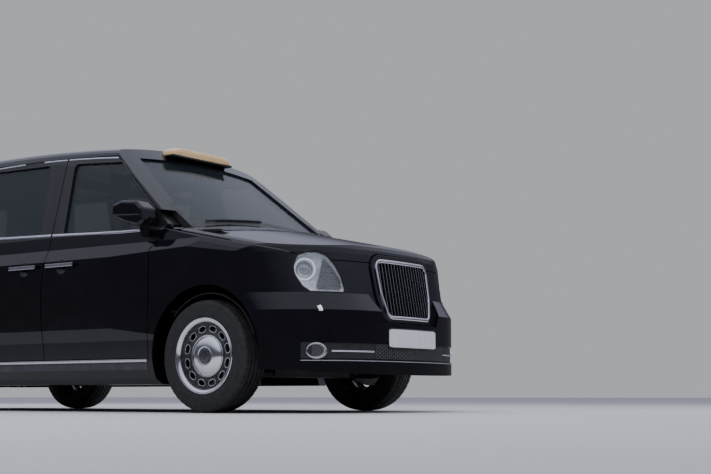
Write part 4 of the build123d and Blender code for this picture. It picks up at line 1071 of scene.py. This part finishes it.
def window_seals():
    """Rubber lip round each side window."""
    for side_name, side in sides:
        for part, outline, body in (("front_door", FRONT_GLASS, f"front_door_{side_name}_body"),
                                    ("rear_door", REAR_GLASS, f"rear_door_{side_name}_body"),
                                    ("side_frame", QUARTER_GLASS, "body")):
            skin = skin_of(f"{part}_{side_name}")
            grown = []
            middle = Vector((sum(x for x, _ in outline), sum(z for _, z in outline))) / len(outline)
            for x, z in rounded(outline, 0.034, 5):
                out = (Vector((x, z)) - middle).normalized() * 0.008
                grown.append((x + out.x, z + out.y))
            route = [on_side(skin, side, x, z) for x, z in around(grown, 0.02)]
            bead_piece(f"{part}_seal_{side_name}", [route], d_profile(0.009, 0.0016, 0.002), trim_black,
                       body, closed=True)


mirror_details()
wipers()
window_seals()


# Seats
def block_mesh(name, size, edge):
    """Closed box with rounded edges about its own middle."""
    bm = bmesh.new()
    bmesh.ops.create_cube(bm, size=1.0)
    for vertex in bm.verts:
        vertex.co = Vector([value * side for value, side in zip(vertex.co, size)])
    bmesh.ops.bevel(bm, geom=bm.edges[:], offset=edge, segments=4, affect="EDGES", profile=0.5)
    return add_object(name, mesh_from(name, bm))


def apply_modifiers(piece):
    """The evaluated mesh becomes the piece's own."""
    graph = bpy.context.evaluated_depsgraph_get()
    mesh = bpy.data.meshes.new_from_object(piece.evaluated_get(graph))
    piece.modifiers.clear()
    piece.data = mesh


def inflate(piece, cap):
    """Cloth simulation: the cover swells under pressure, each point moving no further than the cap."""
    start = [vertex.co.copy() for vertex in piece.data.vertices]
    cloth = piece.modifiers.new("cloth", "CLOTH")
    cloth.settings.use_pressure = True
    cloth.settings.uniform_pressure_force = 4
    cloth.settings.effector_weights.gravity = 0
    cloth.settings.quality = 4
    cloth.point_cache.frame_start = 1
    cloth.point_cache.frame_end = CLOTH_FRAMES
    scene = bpy.context.scene
    for number in range(1, CLOTH_FRAMES + 1):
        scene.frame_set(number)
    apply_modifiers(piece)
    scene.frame_set(1)
    for vertex, origin in zip(piece.data.vertices, start):
        moved = vertex.co - origin
        if moved.length > cap:
            vertex.co = origin + moved.normalized() * cap


def cushion(name, size, place, turn, channels, body, node, cap=0.012):
    """Soft pad with ribs, sewn channels at places along its own Y, and a seam round its border."""
    margin = cap * 0.8
    piece = block_mesh(name, [value - 2 * margin for value in size], min(size) * 0.22)
    remesh = piece.modifiers.new("remesh", "REMESH")
    remesh.mode = "VOXEL"
    remesh.voxel_size = PAD_VOXEL
    apply_modifiers(piece)
    inflate(piece, cap)
    refine = piece.modifiers.new("refine", "SUBSURF")
    refine.levels = 1
    refine.render_levels = 1
    apply_modifiers(piece)
    half = [value / 2 for value in size]
    for vertex in piece.data.vertices:
        x, y, z = vertex.co
        reach = 1 - min(abs(x) / half[0], 1) ** 4
        swell = 0.010 * reach * (1 - min(abs(y) / half[1], 1) ** 4)
        groove = max([0.0] + [math.exp(-((y - seam) / 0.008) ** 2) for seam in channels])
        rib = 0.003 * math.cos(math.pi * 2 * x / 0.09)
        if z > 0:
            z += swell * 0.4 + rib * reach - 0.009 * groove * reach
        border = math.exp(-((z - half[2] * 0.35) / 0.004) ** 2)
        shrink = 1 - 0.006 * border
        vertex.co = (x * shrink, y * shrink, z)
    piece.data.transform(Matrix.Translation(place) @ Matrix.Rotation(math.radians(turn), 4, "Y"))
    smooth(piece.data)
    dress(piece, vinyl)
    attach(piece, body)
    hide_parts(node)


def seat_shell(name, low, high, edge=0.02):
    """Moulded black block with rounded edges between two corners."""
    low, high = Vector(low), Vector(high)
    piece = block_mesh(name, high - low, edge)
    piece.data.transform(Matrix.Translation((low + high) / 2))
    smooth(piece.data, 40)
    dress(piece, trim_black)
    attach(piece, "body")


def seats():
    """The driver's seat, the bench of three and the two folded seats on the partition."""
    driver_channels = (-0.125, 0.125)
    bench_channels = (-0.207, 0.207)
    cushion("driver_squab", (0.385, 0.490, 0.118), (0.452, DRIVER_Y, 0.635), -2, driver_channels, "body",
            "driver_seat")
    cushion("driver_back", (0.600, 0.490, 0.108), (0.162, DRIVER_Y, 0.880), 90 + DRIVER_LEAN,
            driver_channels, "body", "driver_seat")
    seat_shell("driver_seat_base", (0.184, DRIVER_Y - 0.196, 0.342), (0.596, DRIVER_Y + 0.196, 0.580))
    cushion("bench_squab", (0.395, 1.232, 0.142), (-1.240, 0, 0.672), -1.5, bench_channels, "body",
            "passenger_seats")
    cushion("bench_back", (0.590, 1.232, 0.128), (-1.560, 0, 0.902), 90 + BENCH_LEAN, bench_channels, "body",
            "passenger_seats")
    seat_shell("bench_base", (-1.538, -0.598, 0.5405), (-1.134, 0.598, 0.612))
    for side_name, side in sides:
        middle = side * FOLDING_Y
        cushion(f"folding_squab_{side_name}", (0.372, 0.384, 0.086), (-0.1845, middle, 0.750), -90, (0.0,),
                "body", "passenger_seats", cap=0.008)
        seat_shell(f"folding_frame_{side_name}", (-0.1405, middle - 0.203, 0.562),
                   (-0.0810, middle + 0.203, 0.958), 0.012)


seats()


# Cabin
def interior_mirror():
    """Driver's mirror on its stem under the roof's front edge."""
    bm = bmesh.new()
    outline = rounded(CABIN_MIRROR, 0.022)
    loops = []
    for scale, depth in ((0.05, 0.0), (0.96, 0.0), (1.0, 0.006), (1.0, 0.018), (0.85, 0.030), (0.05, 0.036)):
        loops.append([bm.verts.new((CABIN_MIRROR_X + depth, y * scale, CABIN_MIRROR_Z + z * scale))
                      for y, z in outline])
    join_loops(bm, loops)
    bm.faces.new(loops[0])
    bm.faces.new(loops[-1])
    forward = Vector((1, 0, 0))
    stem = [(Vector((0.590, 0, 1.605)), forward), (Vector((0.600, 0, 1.650)), forward),
            (Vector((0.605, 0, 1.700)), forward)]
    add_bead(bm, stem, [(-0.008, -0.008), (-0.008, 0.008), (0.008, 0.008), (0.008, -0.008)])
    piece_from("interior_mirror", bm, trim_black, "body")


interior_mirror()


# Roof sign and tail lamps
def roof_sign():
    """Blank amber lens over its black base: a long dome with rounded ends."""
    low, high = (Vector(corner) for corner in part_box("roof_sign"))
    middle = (low + high) / 2
    half_x, half_y = (high.x - low.x) / 2, (high.y - low.y) / 2
    bm = bmesh.new()
    rings = []
    count = 96
    for share, lift in ((1.0, 0.0), (1.0, 0.12), (0.99, 0.45), (0.95, 0.72), (0.86, 0.90), (0.70, 0.98),
                        (0.40, 1.0), (0.02, 1.0)):
        share_y = share * 0.3 + 0.7 * share ** 0.5
        ring = []
        for k in range(count):
            turn = 2 * math.pi * k / count
            c, s = math.cos(turn), math.sin(turn)
            x = middle.x + (half_x + 0.0006) * share * math.copysign(abs(c) ** 0.45, c)
            y = middle.y + (half_y + 0.0006) * share_y * math.copysign(abs(s) ** 0.22, s)
            top = high.z - 0.012 * (abs(y) / half_y) ** 4
            ring.append(bm.verts.new((x, y, low.z + 0.014 + (top - low.z - 0.014) * lift)))
        rings.append(ring)
    join_loops(bm, rings)
    bm.faces.new(rings[-1])
    bm.faces.new(rings[0])
    piece_from("roof_sign_lens", bm, sign_lens, "body", ("roof_sign",))
    seat_shell("roof_sign_base", (low.x - 0.001, low.y - 0.001, low.z),
               (high.x + 0.001, high.y + 0.001, low.z + 0.016), 0.004)


def tail_lamp_details():
    """Dark dividers and a pale middle band over each tail lamp."""
    skin = skin_of("tail_lamps")

    def across(side, z, first_y, step):
        """Points over a lamp at a height, from its inner edge outwards."""
        return [seat_on(skin, (-3.0, side * (first_y + step * k), z), (1, 0, 0)) for k in range(TAIL_POINTS)]

    low, high = TAIL_DIVIDERS_Z[0] + 0.006, TAIL_DIVIDERS_Z[1] - 0.006
    for side_name, side in sides:
        routes = [across(side, z, 0.722, 0.0095) for z in TAIL_DIVIDERS_Z]
        bead_piece(f"tail_dividers_{side_name}", routes, d_profile(0.006, 0.0012, 0.002), gloss_black, "body")
        route = across(side, (low + high) / 2, 0.724, 0.0092)
        bead_piece(f"tail_band_{side_name}", [route], d_profile(high - low, 0.0010, 0.002), lamp_silver,
                   "body")


roof_sign()
tail_lamp_details()


# Floor, light and camera
def floor_and_light():
    """Pale floor, studio sky and four softboxes."""
    material, tree, shader = new_material("pale_floor")
    cloud = spread(tree, noise(tree, 30.0), 0, 1)
    shade = mix_colours(tree, cloud, (0.36, 0.36, 0.375), (0.38, 0.38, 0.395))
    tree.links.new(shade, shader.inputs["Base Color"])
    shader.inputs["Roughness"].default_value = 0.7
    mesh = bpy.data.meshes.new("floor")
    size = FLOOR_HALF_SIZE
    mesh.from_pydata([(-size, -size, 0), (size, -size, 0), (size, size, 0), (-size, size, 0)], [],
                     [(0, 1, 2, 3)])
    floor = add_object("floor", mesh)
    mesh.materials.append(material)

    # The surfaces see a soft sky, dim near the ground; the camera sees a plain pale backdrop
    world = bpy.data.worlds.new("studio")
    bpy.context.scene.world = world
    world.use_nodes = True
    tree = world.node_tree
    background = tree.nodes["Background"]
    place = tree.nodes.new("ShaderNodeTexCoord")
    axes = tree.nodes.new("ShaderNodeSeparateXYZ")
    tree.links.new(place.outputs["Generated"], axes.inputs["Vector"])
    ramp = tree.nodes.new("ShaderNodeValToRGB")
    tree.links.new(axes.outputs["Z"], ramp.inputs["Fac"])
    stops = ((0.0, (0.14, 0.14, 0.16)), (0.10, (0.10, 0.10, 0.12)), (0.22, (0.14, 0.14, 0.18)),
             (0.36, (0.60, 0.62, 0.78)), (0.60, (0.95, 1.0, 1.20)), (1.0, (1.0, 1.05, 1.25)))
    ramp.color_ramp.elements[0].position, ramp.color_ramp.elements[0].color = stops[0][0], (*stops[0][1], 1)
    ramp.color_ramp.elements[1].position, ramp.color_ramp.elements[1].color = stops[-1][0], (*stops[-1][1], 1)
    for position, colour in stops[1:-1]:
        ramp.color_ramp.elements.new(position).color = (*colour, 1)
    rays = tree.nodes.new("ShaderNodeLightPath")
    mix = tree.nodes.new("ShaderNodeMix")
    mix.data_type = "RGBA"
    mix.inputs["B"].default_value = (0.56, 0.57, 0.60, 1)
    tree.links.new(rays.outputs["Is Camera Ray"], mix.inputs["Factor"])
    tree.links.new(ramp.outputs["Color"], mix.inputs["A"])
    tree.links.new(mix.outputs["Result"], background.inputs["Color"])
    background.inputs["Strength"].default_value = 0.8

    def softbox(name, place, target, width, height, power):
        """Area light aimed at a target and not seen in reflections."""
        light = bpy.data.lights.new(name, "AREA")
        light.shape = "RECTANGLE"
        light.size = width
        light.size_y = height
        light.energy = power
        lamp = add_object(name, light)
        lamp.location = place
        aim = Vector(target) - Vector(place)
        lamp.rotation_euler = aim.to_track_quat("-Z", "Y").to_euler()
        lamp.visible_glossy = False

    softbox("key_softbox", (4.0, -6.5, 6.5), (0.3, 0, 0.8), 5.0, 2.5, 480)
    softbox("front_softbox", (8.0, 4.0, 4.5), (1.0, 0, 0.8), 4.0, 2.5, 280)
    softbox("rear_softbox", (-7.0, 3.0, 5.0), (-1.0, 0, 0.8), 4.0, 2.5, 260)
    softbox("top_softbox", (0.0, 0.0, 7.0), (0, 0, 1.0), 6.0, 4.0, 380)


def photo_camera():
    """The fitted camera of the photograph."""
    data = bpy.data.cameras.new("photo_camera")
    data.sensor_width = SENSOR_WIDTH
    data.lens = FOCAL_PIXELS * SENSOR_WIDTH / PHOTO_WIDTH
    camera = add_object("photo_camera", data)
    azimuth = math.radians(CAMERA_AZIMUTH)
    pitch = math.radians(CAMERA_PITCH)
    aim = Vector((-math.sin(azimuth) * math.cos(pitch), math.cos(azimuth) * math.cos(pitch), math.sin(pitch)))
    camera.location = CAMERA_PLACE
    camera.rotation_euler = aim.to_track_quat("-Z", "Y").to_euler()
    bpy.context.scene.camera = camera


floor_and_light()
photo_camera()
